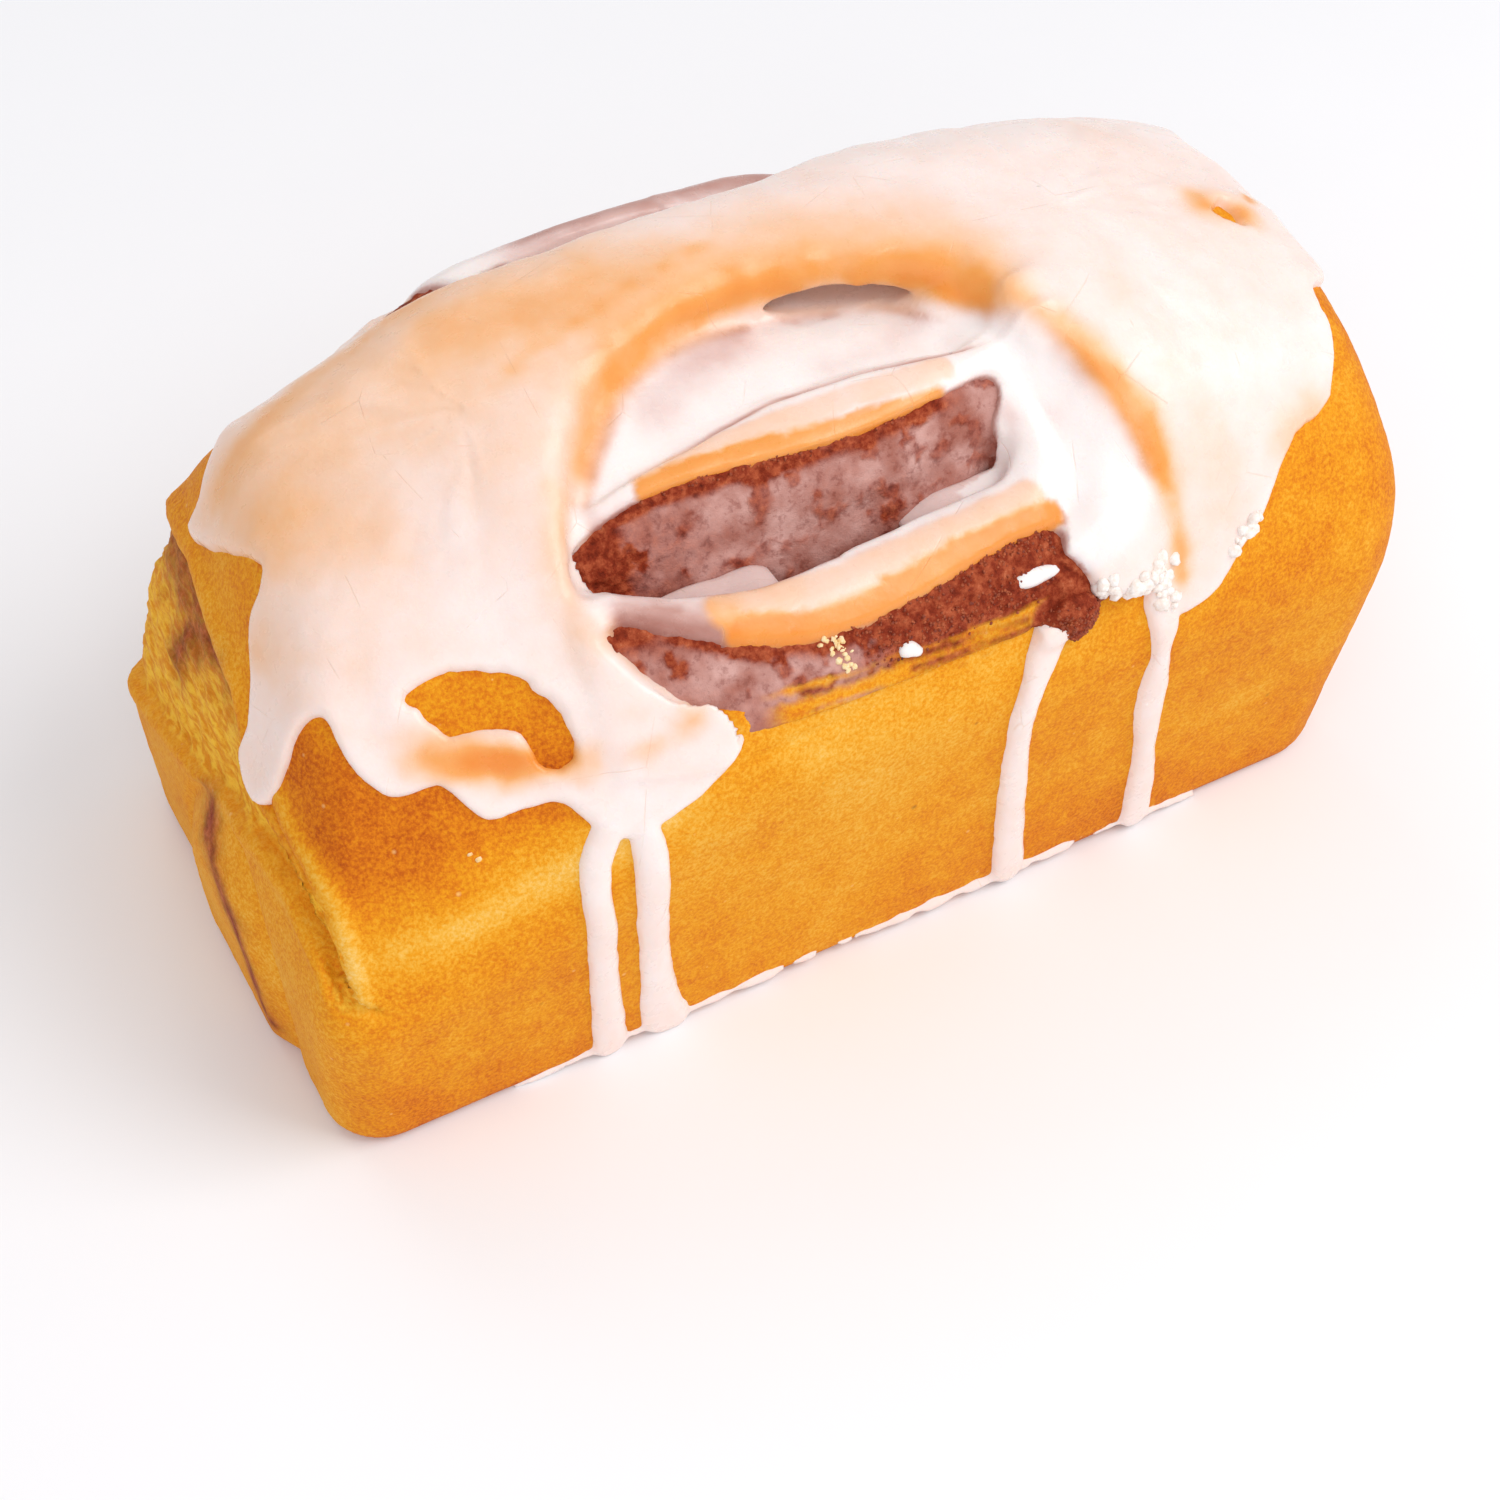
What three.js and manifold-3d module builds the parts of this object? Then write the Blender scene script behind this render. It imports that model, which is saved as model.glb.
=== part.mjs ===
// Cinnamon swirl loaf: a tin-baked loaf whose crust has two long openings that show the rolled dough inside,
// with a poured sugar glaze over its crown, in its openings and down its walls.
// Millimetres. +X runs along the loaf, -Y is the front wall, +Z is up; the origin is the middle of the flat base.
import * as THREE from "three";
import { mergeVertices } from "three/addons/utils/BufferGeometryUtils.js";
import Module from "manifold-3d";

const wasm = await Module();
wasm.setup();

// ---------------------------------------------------------------- driving dimensions

// The tin's floor, and how far its walls have leaned out at the rim.
const BASE = { halfLength: 105, halfWidth: 50.5, cornerRadius: 15, edgeRound: 3.5 };
const RIM = { height: 60, leanLength: 3.5, leanWidth: 5.5 };

// The risen crown: a ridge along X that falls to both ends and walls, and falls further at its left end.
const CROWN = {
  height: 111,
  ridgeX: 2,
  ridgeY: 12,
  rightFall: 15,
  leftFall: 24,
  reach: 100,
  shoulder: 14,
  leftFrom: -34,
  leftTo: -72,
  front: { span: 66, drop: 38, leftDrop: 15, rightRise: 2, power: 3, leftPower: 0.7 },
  back: { span: 46, drop: 34, leftDrop: 14, rightRise: 0, power: 2.6, leftPower: 0.4 },
};

// The left end, where the rising dough tore away from the tin wall and left a slanting face.
const BURST = { x: -107, startHeight: 44, lean: [0.95, 0.31], backwardPull: 4, blend: 8 };

// Surface coordinates: a ray leaves a core line inside the loaf, at a place around it and a height up it.
const CORE = { halfLength: 55, height: 45, radius: 54, climbRadius: 55 };
const QUARTER_TURN = (CORE.radius * Math.PI) / 2;
const HALF_LOOP = 2 * (CORE.halfLength + QUARTER_TURN);

// How finely the crust is divided, and how many steps halve the search for its surface.
const MESH = { straightSteps: 14, endSteps: 22, searchSteps: 26, longestRay: 150 };

// Glaze: the gap that keeps it off the crust, the least share of that gap anywhere, and its thickness in the
// sheet, in the runs, in the foot lines and on the rolls.
const GLAZE = { gap: 0.55, leastGap: 0.6, sheet: 1.4, run: 1.9, foot: 1.2, roll: 1.3 };

// Colours, roughness and metalness of the baked crust and the set glaze.
const FINISH = {
  crust: { color: 0xd08a2e, roughness: 0.75, metalness: 0 },
  glaze: { color: 0xf5e6dc, roughness: 0.35, metalness: 0 },
};

// Each opening is a lens cut into the crown: centre, half sizes and tilt, in millimetres and degrees.
const FRONT_OPENING = { centre: [0, -25.5, 93], half: [51, 32, 12], tilt: 34 };
const REAR_OPENING = { centre: [-10, 43, 94], half: [44, 22, 10], tilt: -34 };

// Each roll of dough in an opening: its place across the loaf, top height, width, depth, ends and backward lean.
const ROLLS = [
  { name: "inner", y: -3, top: 100, width: 23, depth: 20, from: -46, to: 40, dip: 13, lean: 6 },
  { name: "upper", y: -22.5, top: 102.5, width: 14.5, depth: 24, from: -47, to: 38, dip: 18, lean: 8 },
  { name: "lower", y: -44.5, top: 89.5, width: 12, depth: 20, from: -50, to: 34, dip: 16, lean: 22 },
  { name: "rear", y: 44, top: 103, width: 14, depth: 24, from: -50, to: 30, dip: 18, lean: -16 },
];
const ROLL_STEPS = 12;

// The lower edge of the glaze sheet: place around the loaf, height up it.
const SHEET_EDGE = [
  [-280, 84], [-262, 74], [-246, 60], [-238, 78], [-214, 84], [-196, 74], [-184, 88],
  [-170, 80], [-151, 90], [-137, 91], [-127, 66], [-119, 60], [-111, 79], [-102, 75],
  [-92, 70], [-85, 72], [-76, 66], [-63, 67], [-54, 58], [-46, 60], [-35, 72],
  [0, 76], [30, 73], [45, 68], [54, 61], [65, 68], [78, 78], [92, 79],
  [110, 82], [132, 74], [150, 84], [172, 70], [190, 82], [214, 76], [232, 60], [246, 78], [280, 84],
];

// Each run of glaze down a wall: its middle at the top and at the bottom, its half width and its two heights.
const RUNS = [
  { name: "icing_run_front_far_left", top: [-59, 57], bottom: [-55, 8], half: 3.2 },
  { name: "icing_run_front_left", top: [-50, 57], bottom: [-46, 9], half: 3.6 },
  { name: "icing_run_front_middle", top: [28, 66], bottom: [26, 8], half: 3.2 },
  { name: "icing_run_front_right", top: [49, 59], bottom: [55, 8], half: 3.4 },
  { name: "icing_run_back_left", top: [-245, 58], bottom: [-248, 14], half: 3.4 },
  { name: "icing_run_back_right", top: [231, 58], bottom: [229, 22], half: 3 },
];
const RUN_GRID = { columns: 4, rows: 9 };

// The thin line of glaze that gathered along the foot of the front wall.
const FOOT_LINES = [
  { name: "icing_foot_front_left", from: -40, to: 16 },
  { name: "icing_foot_front_right", from: 32, to: 49 },
];
const FOOT = { low: 6.4, high: 8.4, columns: 8, rows: 2 };

// ---------------------------------------------------------------- the loaf as a field

const clamp = THREE.MathUtils.clamp;
const step = THREE.MathUtils.smoothstep;
const smoothMax = (a, b, k) => Math.max(a, b) + Math.max(k - Math.abs(a - b), 0) ** 2 / (4 * k);

/** Height of the crown's surface over a point of the base. */
function crownHeight(x, y) {
  const along = (x - CROWN.ridgeX) / CROWN.reach;
  const fall =
    along > 0 ? CROWN.rightFall * along ** 2.6 : CROWN.leftFall * Math.abs(along) ** 2.8;
  const left = 1 - step(x, CROWN.leftTo, CROWN.leftFrom);
  const slope = y < CROWN.ridgeY ? CROWN.front : CROWN.back;
  const drop = slope.drop + slope.leftDrop * left - slope.rightRise * step(x, 30, 80);
  const power = slope.power - slope.leftPower * left;
  return CROWN.height - fall - drop * (Math.abs(y - CROWN.ridgeY) / slope.span) ** power;
}

/** About the distance from the loaf's skin: negative inside, zero on it, positive outside. */
function loafField(x, y, z) {
  const up = clamp(z / RIM.height, 0, 1);
  const halfLength = BASE.halfLength + RIM.leanLength * up;
  const halfWidth = BASE.halfWidth + RIM.leanWidth * up;
  const qx = Math.abs(x) - halfLength + BASE.cornerRadius;
  const qy = Math.abs(y) - halfWidth + BASE.cornerRadius;
  const wall =
    Math.hypot(Math.max(qx, 0), Math.max(qy, 0)) + Math.min(Math.max(qx, qy), 0) - BASE.cornerRadius;
  const crown = (z - crownHeight(x, y)) * 0.75;
  const atLeft = 1 - step(x, -105, -60);
  const burst =
    BURST.lean[0] * (BURST.x - x) +
    BURST.lean[1] * (z - BURST.startHeight) +
    BURST.backwardPull * step(y, 0, 50) * step(z, BURST.startHeight, 80);
  const skin = smoothMax(smoothMax(wall, crown, CROWN.shoulder + 10 * atLeft), burst, BURST.blend);
  return smoothMax(skin, -z, BASE.edgeRound);
}

/** The core point and plan direction for a place around the loaf, which is 0 at the middle of the front. */
function planRay(around) {
  const side = Math.sign(around) || 1;
  const far = Math.abs(around);
  if (far <= CORE.halfLength) return { x: around, along: 0, across: -1 };
  if (far >= HALF_LOOP - CORE.halfLength) return { x: side * (HALF_LOOP - far), along: 0, across: 1 };
  const turn = (far - CORE.halfLength) / CORE.radius;
  return { x: side * CORE.halfLength, along: side * Math.sin(turn), across: -Math.cos(turn) };
}

/** The point on a ray from the core where the field has a given level. */
function pointAt(around, climb, level) {
  const ray = planRay(around);
  const flat = Math.cos(climb);
  const at = (t) => [
    ray.x + ray.along * flat * t,
    ray.across * flat * t,
    CORE.height + Math.sin(climb) * t,
  ];
  let near = 0;
  let far = MESH.longestRay;
  for (let i = 0; i < MESH.searchSteps; i++) {
    const middle = (near + far) / 2;
    if (loafField(...at(middle)) < level) near = middle;
    else far = middle;
  }
  return at((near + far) / 2);
}

const climbOf = (height) => (height - CORE.height) / CORE.climbRadius;

// ---------------------------------------------------------------- solids from grids of points

/** A manifold-3d solid from a closed three.js geometry. */
function solidOf(geometry) {
  const bare = geometry.index ? geometry.toNonIndexed() : geometry.clone();
  for (const name of Object.keys(bare.attributes)) if (name !== "position") bare.deleteAttribute(name);
  const merged = mergeVertices(bare, 1e-3);
  const index = merged.index.array;
  const kept = [];
  for (let i = 0; i < index.length; i += 3) {
    const [a, b, c] = [index[i], index[i + 1], index[i + 2]];
    if (a !== b && b !== c && c !== a) kept.push(a, b, c);
  }
  return new wasm.Manifold(
    new wasm.Mesh({
      numProp: 3,
      vertProperties: merged.attributes.position.array,
      triVerts: new Uint32Array(kept),
    }),
  );
}

/** A three.js geometry from a manifold-3d solid. */
function geometryOf(solid) {
  const mesh = solid.getMesh();
  const places = new Float32Array(mesh.numVert * 3);
  for (let i = 0; i < mesh.numVert; i++)
    places.set(mesh.vertProperties.subarray(i * mesh.numProp, i * mesh.numProp + 3), i * 3);
  const geometry = new THREE.BufferGeometry();
  geometry.setAttribute("position", new THREE.BufferAttribute(places, 3));
  geometry.setIndex(new THREE.BufferAttribute(new Uint32Array(mesh.triVerts), 1));
  return geometry;
}

/** A geometry from quads that are each four points, in order round the outside. */
function quadsGeometry(quads) {
  const places = [];
  for (const [a, b, c, d] of quads) places.push(...a, ...b, ...c, ...a, ...c, ...d);
  const geometry = new THREE.BufferGeometry();
  geometry.setAttribute("position", new THREE.Float32BufferAttribute(places, 3));
  return geometry;
}

/** Quads between neighbouring columns of points, with the last column joined to the first if asked. */
function skin(columns, closed, flip = false) {
  const quads = [];
  const last = closed ? columns.length : columns.length - 1;
  for (let c = 0; c < last; c++) {
    const here = columns[c];
    const next = columns[(c + 1) % columns.length];
    for (let r = 0; r < here.length - 1; r++) {
      const quad = [here[r], next[r], next[r + 1], here[r + 1]];
      quads.push(flip ? quad.reverse() : quad);
    }
  }
  return quads;
}

/** Places around the loaf that match front to back, so rows that meet on the core line share their points. */
function placesAround() {
  const places = [];
  const straight = (2 * CORE.halfLength) / MESH.straightSteps;
  const curved = (2 * QUARTER_TURN) / MESH.endSteps;
  for (let i = 0; i < MESH.straightSteps; i++) places.push(-CORE.halfLength + i * straight);
  for (let i = 0; i < MESH.endSteps; i++) places.push(CORE.halfLength + i * curved);
  for (let i = 0; i <= MESH.straightSteps / 2; i++)
    places.push(CORE.halfLength + 2 * QUARTER_TURN + i * straight);
  for (let i = MESH.straightSteps / 2 - 1; i > 0; i--)
    places.push(-(CORE.halfLength + 2 * QUARTER_TURN + i * straight));
  for (let i = MESH.endSteps; i > 0; i--) places.push(-(CORE.halfLength + i * curved));
  return places;
}

/** Angles of the loaf's rows in one column, from the middle of the base up to the crown. */
function climbsOf(around) {
  const foot = Math.hypot(pointAt(around, 0, 0)[0] - planRay(around).x, pointAt(around, 0, 0)[1]);
  const baseReach = foot - RIM.leanWidth;
  const angles = [-Math.PI / 2, Math.atan2(-CORE.height, baseReach * 0.55)];
  angles.push(Math.atan2(-CORE.height, baseReach - BASE.edgeRound));
  for (const height of [BASE.edgeRound * 0.4, 12, 28]) angles.push(Math.atan2(height - CORE.height, baseReach));
  for (let degrees = 0; degrees <= 90; degrees += 9) angles.push(THREE.MathUtils.degToRad(degrees));
  return angles;
}

/** The whole crust before its openings are cut, or a shape that stands off it by a level of the field. */
function crustSolid(level = 0) {
  const columns = placesAround().map((around) =>
    climbsOf(around).map((climb) => {
      const [x, y, z] = pointAt(around, climb, level);
      return [x, y, z < 0.05 ? 0 : z];
    }),
  );
  return solidOf(quadsGeometry(skin(columns, true)));
}

/** Height of the glaze sheet's lower edge at a place around the loaf. */
function sheetEdge(around) {
  const next = SHEET_EDGE.findIndex(([place]) => place >= around);
  const [a, low] = SHEET_EDGE[Math.max(next - 1, 0)];
  const [b, high] = SHEET_EDGE[next];
  return a === b ? low : low + ((high - low) * (around - a)) / (b - a);
}

/** The poured sheet of glaze over the crown: it shares the crust's rows and starts at its own lower edge. */
function sheetSolid() {
  const layer = (level) =>
    placesAround().map((around) => {
      const start = climbOf(sheetEdge(around));
      return climbsOf(around).map((climb) => pointAt(around, Math.max(climb, start), level));
    });
  const outer = layer(GLAZE.gap + GLAZE.sheet);
  const inner = layer(GLAZE.gap);
  const rim = outer.map((column, c) => [inner[c][0], column[0]]);
  return solidOf(quadsGeometry([...skin(outer, true), ...skin(inner, true, true), ...skin(rim, true)]));
}

/** A patch of glaze on a wall: a closed slab over a grid of surface places. */
function patchGeometry(places, thickness) {
  const layer = (level) =>
    places.map((column) => column.map(([around, height]) => pointAt(around, climbOf(height), level)));
  const outer = layer(GLAZE.gap + thickness);
  const inner = layer(GLAZE.gap);
  const quads = [...skin(outer, false), ...skin(inner, false, true)];
  const top = outer[0].length - 1;
  const right = outer.length - 1;
  quads.push(...skin(outer.map((column, c) => [inner[c][0], column[0]]), false));
  quads.push(...skin(outer.map((column, c) => [column[top], inner[c][top]]), false));
  quads.push(...skin([inner[0], outer[0]], false));
  quads.push(...skin([outer[right], inner[right]], false));
  return quadsGeometry(quads);
}

/** A run of glaze, wider at its head and in the bead at its end. */
function runGeometry(run) {
  const columns = [];
  for (let c = 0; c <= RUN_GRID.columns; c++) {
    const across = (2 * c) / RUN_GRID.columns - 1;
    const column = [];
    for (let r = 0; r <= RUN_GRID.rows; r++) {
      const up = r / RUN_GRID.rows;
      const swell = 1 + 0.22 * Math.cos(2 * Math.PI * up);
      const middle = THREE.MathUtils.lerp(run.bottom[0], run.top[0], up);
      column.push([middle + across * run.half * swell, THREE.MathUtils.lerp(run.bottom[1], run.top[1], up)]);
    }
    columns.push(column);
  }
  return patchGeometry(columns, GLAZE.run);
}

/** A thin line of glaze along the foot of the front wall. */
function footGeometry(line) {
  const columns = [];
  for (let c = 0; c <= FOOT.columns; c++) {
    const around = THREE.MathUtils.lerp(line.from, line.to, c / FOOT.columns);
    const column = [];
    for (let r = 0; r <= FOOT.rows; r++)
      column.push([around, THREE.MathUtils.lerp(FOOT.low, FOOT.high, r / FOOT.rows)]);
    columns.push(column);
  }
  return patchGeometry(columns, GLAZE.foot);
}

// ---------------------------------------------------------------- openings and the rolled dough in them

/** The lens that cuts an opening, grown by a margin. */
function openingSolid(opening, margin = 0) {
  const lens = new THREE.SphereGeometry(1, 28, 16);
  lens.scale(...opening.half.map((half) => half + margin));
  lens.rotateX(THREE.MathUtils.degToRad(opening.tilt));
  lens.translate(...opening.centre);
  return solidOf(lens);
}

/** The arch of a roll along the loaf, which dips into the opening at both ends. */
function rollPath(roll) {
  const middle = (roll.from + roll.to) / 2;
  const half = (roll.to - roll.from) / 2;
  const points = [];
  for (let i = 0; i <= 6; i++) {
    const share = (2 * i) / 6 - 1;
    points.push(new THREE.Vector3(middle + share * half, 0, -roll.dip * Math.abs(share) ** 2.5));
  }
  return new THREE.CatmullRomCurve3(points);
}

/** The outline of a roll or of the glaze on it: x runs across it and y runs down from its upper face. */
function rollOutline(width, top, bottom, round) {
  const half = width / 2;
  const outline = new THREE.Shape();
  outline.moveTo(-half, bottom);
  outline.lineTo(-half, top + round);
  outline.quadraticCurveTo(-half, top, -half + round, top);
  outline.lineTo(half - round, top);
  outline.quadraticCurveTo(half, top, half, top + round);
  outline.lineTo(half, bottom);
  outline.closePath();
  return outline;
}

/** A roll's outline drawn along its arch and set in its opening. */
function alongRoll(roll, outline) {
  const geometry = new THREE.ExtrudeGeometry(outline, {
    steps: ROLL_STEPS,
    curveSegments: 2,
    extrudePath: rollPath(roll),
  });
  geometry.rotateX(THREE.MathUtils.degToRad(roll.lean));
  geometry.translate(0, roll.y, roll.top);
  return geometry;
}

/** One length of rolled dough, from its upper face down into the loaf, grown by a margin. */
function rollSolid(roll, margin = 0) {
  const outline = rollOutline(roll.width + 2 * margin, -margin, roll.depth + margin, 3);
  return solidOf(alongRoll({ ...roll, from: roll.from - margin, to: roll.to + margin }, outline));
}

/** The glaze that lies on a roll, cut clear of its neighbours. */
function rollGlazeSolid(roll, neighbours) {
  const strip = { ...roll, from: roll.from + 7, to: roll.to - 7 };
  strip.dip = roll.dip * ((strip.to - strip.from) / (roll.to - roll.from)) ** 2.5;
  const outline = rollOutline(roll.width * 0.72, -GLAZE.gap - GLAZE.roll, -GLAZE.gap, 0.6);
  let glaze = solidOf(alongRoll(strip, outline));
  for (const neighbour of neighbours) glaze = glaze.subtract(neighbour);
  const pieces = glaze.decompose().sort((a, b) => b.volume() - a.volume());
  return pieces[0];
}

// ---------------------------------------------------------------- the object

const group = new THREE.Group();

/** Adds one named piece to the object. */
function addPiece(name, geometry, finish) {
  const mesh = new THREE.Mesh(geometry, new THREE.MeshStandardMaterial(finish));
  mesh.name = name;
  group.add(mesh);
}

const crust = crustSolid();
const opened = crust.subtract(openingSolid(FRONT_OPENING)).subtract(openingSolid(REAR_OPENING));
const rolls = ROLLS.map((roll) => rollSolid(roll));
const loaf = rolls.reduce((whole, roll) => whole.add(roll), opened);
addPiece("loaf", geometryOf(loaf), FINISH.crust);

const rollsCleared = ROLLS.map((roll) => rollSolid(roll, GLAZE.gap));
const sheet = ROLLS.map((roll) => rollSolid(roll, 2 * GLAZE.gap + GLAZE.roll)).reduce(
  (whole, roll) => whole.subtract(roll),
  sheetSolid()
    .subtract(crustSolid(GLAZE.gap * GLAZE.leastGap))
    .subtract(openingSolid(FRONT_OPENING, 1))
    .subtract(openingSolid(REAR_OPENING, 1)),
);
const sheetPieces = sheet.decompose().sort((a, b) => b.volume() - a.volume());
addPiece("icing_sheet", geometryOf(sheetPieces[0]), FINISH.glaze);

ROLLS.forEach((roll, i) => {
  const others = [opened, ...rollsCleared.filter((_, other) => other !== i)];
  addPiece(`icing_on_${roll.name}_roll`, geometryOf(rollGlazeSolid(roll, others)), FINISH.glaze);
});
for (const run of RUNS) addPiece(run.name, runGeometry(run), FINISH.glaze);
for (const line of FOOT_LINES) addPiece(line.name, footGeometry(line), FINISH.glaze);

export default group;
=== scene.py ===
"""Cinnamon swirl loaf: the looks of a glazed, tin-baked loaf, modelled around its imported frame.

Sizes are in millimetres in the loaf's own frame: +X along the loaf, -Y the front wall, +Z up, and the origin
in the middle of the flat base. Blender's meshes are in metres.
"""
import logging
import math
from dataclasses import dataclass
from enum import Enum
from typing import Callable, Sequence

import bmesh
import bpy
import numpy as np
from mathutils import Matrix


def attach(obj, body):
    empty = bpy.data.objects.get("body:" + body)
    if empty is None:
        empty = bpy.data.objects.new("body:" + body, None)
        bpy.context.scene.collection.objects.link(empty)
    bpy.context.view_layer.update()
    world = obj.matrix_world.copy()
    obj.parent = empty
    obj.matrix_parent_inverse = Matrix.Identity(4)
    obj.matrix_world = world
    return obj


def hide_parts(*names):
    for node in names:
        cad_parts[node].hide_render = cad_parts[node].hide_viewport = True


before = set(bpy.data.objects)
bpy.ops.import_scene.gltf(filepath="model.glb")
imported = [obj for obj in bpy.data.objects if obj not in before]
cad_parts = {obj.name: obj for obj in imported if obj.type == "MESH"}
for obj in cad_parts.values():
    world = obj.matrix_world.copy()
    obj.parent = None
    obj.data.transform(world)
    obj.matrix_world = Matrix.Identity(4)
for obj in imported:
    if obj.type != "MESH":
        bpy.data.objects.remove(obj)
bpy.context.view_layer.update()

import openvdb
from mathutils import Matrix, Vector

MM = 0.001
Array = np.ndarray
Knot = tuple[float, ...]
Knots = Sequence[Knot]
log = logging.getLogger("loaf")


# ---- numbers and fields


def ramp(low: float | Array, high: float | Array, value: Array) -> Array:
    """Smooth step from 0 at low to 1 at high."""
    t = np.clip((value - low) / (high - low), 0.0, 1.0)
    return t * t * (3.0 - 2.0 * t)


def smooth_max(a: Array, b: Array, blend: float | Array) -> Array:
    """Intersection of two fields with a rounded edge.

    Args:
        a: First field.
        b: Second field.
        blend: Width over which the two meet, in the fields' unit.

    Returns:
        The greater of the two, raised a little where they are close.
    """
    return np.maximum(a, b) + np.maximum(blend - np.abs(a - b), 0.0) ** 2 / (4.0 * blend)


def smooth_min(a: Array, b: Array, blend: float | Array) -> Array:
    """Union of two fields with a filled crease."""
    return -smooth_max(-a, -b, blend)


def bell(distance: Array, width: float) -> Array:
    """A soft bump: 1 at no distance, falling away over the width."""
    return np.exp(-((distance / width) ** 2))


@dataclass(frozen=True)
class Noise:
    """Smooth value noise on an endless random lattice.

    Attributes:
        seed: Picks the lattice.
        cell: Size of the coarsest lattice cell in millimetres.
        octaves: Number of layers, each half the size and half the strength of the last.
        stretch: How much longer the pattern is along X, Y and Z.
    """

    seed: int
    cell: float
    octaves: int = 2
    stretch: tuple[float, float, float] = (1.0, 1.0, 1.0)

    def __call__(self, points: Array) -> Array:
        """Noise from about -1 to 1 at each point of an (n, 3) array."""
        scaled = points / (self.cell * np.array(self.stretch))
        layers = [self._layer(scaled * 2.0**i, self.seed + i) / 2.0**i for i in range(self.octaves)]
        return sum(layers) / (2.0 - 2.0 ** (1 - self.octaves))

    def _layer(self, points: Array, seed: int) -> Array:
        """One octave: lattice values joined by smooth steps."""
        cell = np.floor(points).astype(np.int64)
        share = points - cell
        share = share * share * (3.0 - 2.0 * share)
        total = np.zeros(len(points))
        for corner in np.ndindex(2, 2, 2):
            weight = np.prod(np.where(corner, share, 1.0 - share), axis=1)
            total += weight * self._lattice(cell + corner, seed)
        return total

    @staticmethod
    def _lattice(cell: Array, seed: int) -> Array:
        """A repeatable random value from -1 to 1 for each lattice point."""
        key = cell[:, 0] * 73856093 ^ cell[:, 1] * 19349663 ^ cell[:, 2] * 83492791 ^ seed * 2654435761
        key = (key ^ key >> 13) * 1274126177 & 0xFFFFFFFF
        key = (key ^ key >> 16) * 2246822519 & 0xFFFFFFFF
        return (key >> 8 & 0xFFFF) / 32767.5 - 1.0


def drift(
    points: Array, cell: float, octaves: int, seeds: Sequence[int], stretch: Knot = (1.0, 1.0, 1.0)
) -> Array:
    """Random vectors that lead points astray, so that what is drawn over them wanders.

    Args:
        points: The points as an (n, 3) array.
        cell: Size of the wandering in millimetres.
        octaves: Layers of noise.
        seeds: One seed for each axis.
        stretch: How much longer the pattern is along X, Y and Z.

    Returns:
        A vector for each point, each part from about -1 to 1.
    """
    return np.stack([Noise(seed, cell, octaves, stretch)(points) for seed in seeds], axis=1)


def curve(knots: Knots, degree: int, column: int) -> Callable[[Array], Array]:
    """A smooth curve near a few given points.

    Args:
        knots: Points whose first number is where, and whose others are values there.
        degree: Degree of the polynomial.
        column: Which value to follow.

    Returns:
        A function of place, held constant beyond the first and last knots.
    """
    table = np.array(knots, float)
    shape = np.polynomial.Polynomial.fit(table[:, 0], table[:, column], degree)
    return lambda place: shape(np.clip(place, table[0, 0], table[-1, 0]))


@dataclass(frozen=True)
class Stroke:
    """A soft line drawn through space.

    Attributes:
        path: Points it passes.
        width: Distance at which it has faded to a third.
        strength: Its value on the line.
    """

    path: Knots
    width: float
    strength: float = 1.0

    def reach(self, x: Array, y: Array, z: Array) -> Array:
        """Distance from places to the line.

        Args:
            x: Along the loaf.
            y: Across the loaf.
            z: Heights.

        Returns:
            The distance in millimetres.
        """
        best = None
        for (ax, ay, az), (bx, by, bz) in zip(self.path[:-1], self.path[1:]):
            ex, ey, ez = bx - ax, by - ay, bz - az
            t = ((x - ax) * ex + (y - ay) * ey + (z - az) * ez) / (ex * ex + ey * ey + ez * ez)
            t = np.clip(t, 0.0, 1.0)
            square = (x - ax - t * ex) ** 2 + (y - ay - t * ey) ** 2 + (z - az - t * ez) ** 2
            best = square if best is None else np.minimum(best, square)
        return np.sqrt(best)

    def __call__(self, points: Array) -> Array:
        """The line's value at each point of an (n, 3) array."""
        return self.strength * bell(self.reach(*points.T), self.width)

    def band(self, points: Array) -> Array:
        """The line with a firm edge, from 0 beside it to 1 on it."""
        return ramp(0.2, 0.6, self(points) / self.strength)


@dataclass(frozen=True)
class Blob:
    """An ellipsoid that lies along the axes.

    Attributes:
        centre: Its middle.
        radii: Its half sizes along X, Y and Z.
    """

    centre: tuple[float, float, float]
    radii: tuple[float, float, float]

    def reach(self, x: Array, y: Array, z: Array) -> Array:
        """Distance from the centre, 1 on the skin."""
        (cx, cy, cz), (rx, ry, rz) = self.centre, self.radii
        return np.sqrt(((x - cx) / rx) ** 2 + ((y - cy) / ry) ** 2 + ((z - cz) / rz) ** 2)

    def field(self, x: Array, y: Array, z: Array) -> Array:
        """The ellipsoid's solid."""
        return (self.reach(x, y, z) - 1.0) * min(self.radii)


# ---- the bread


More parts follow.
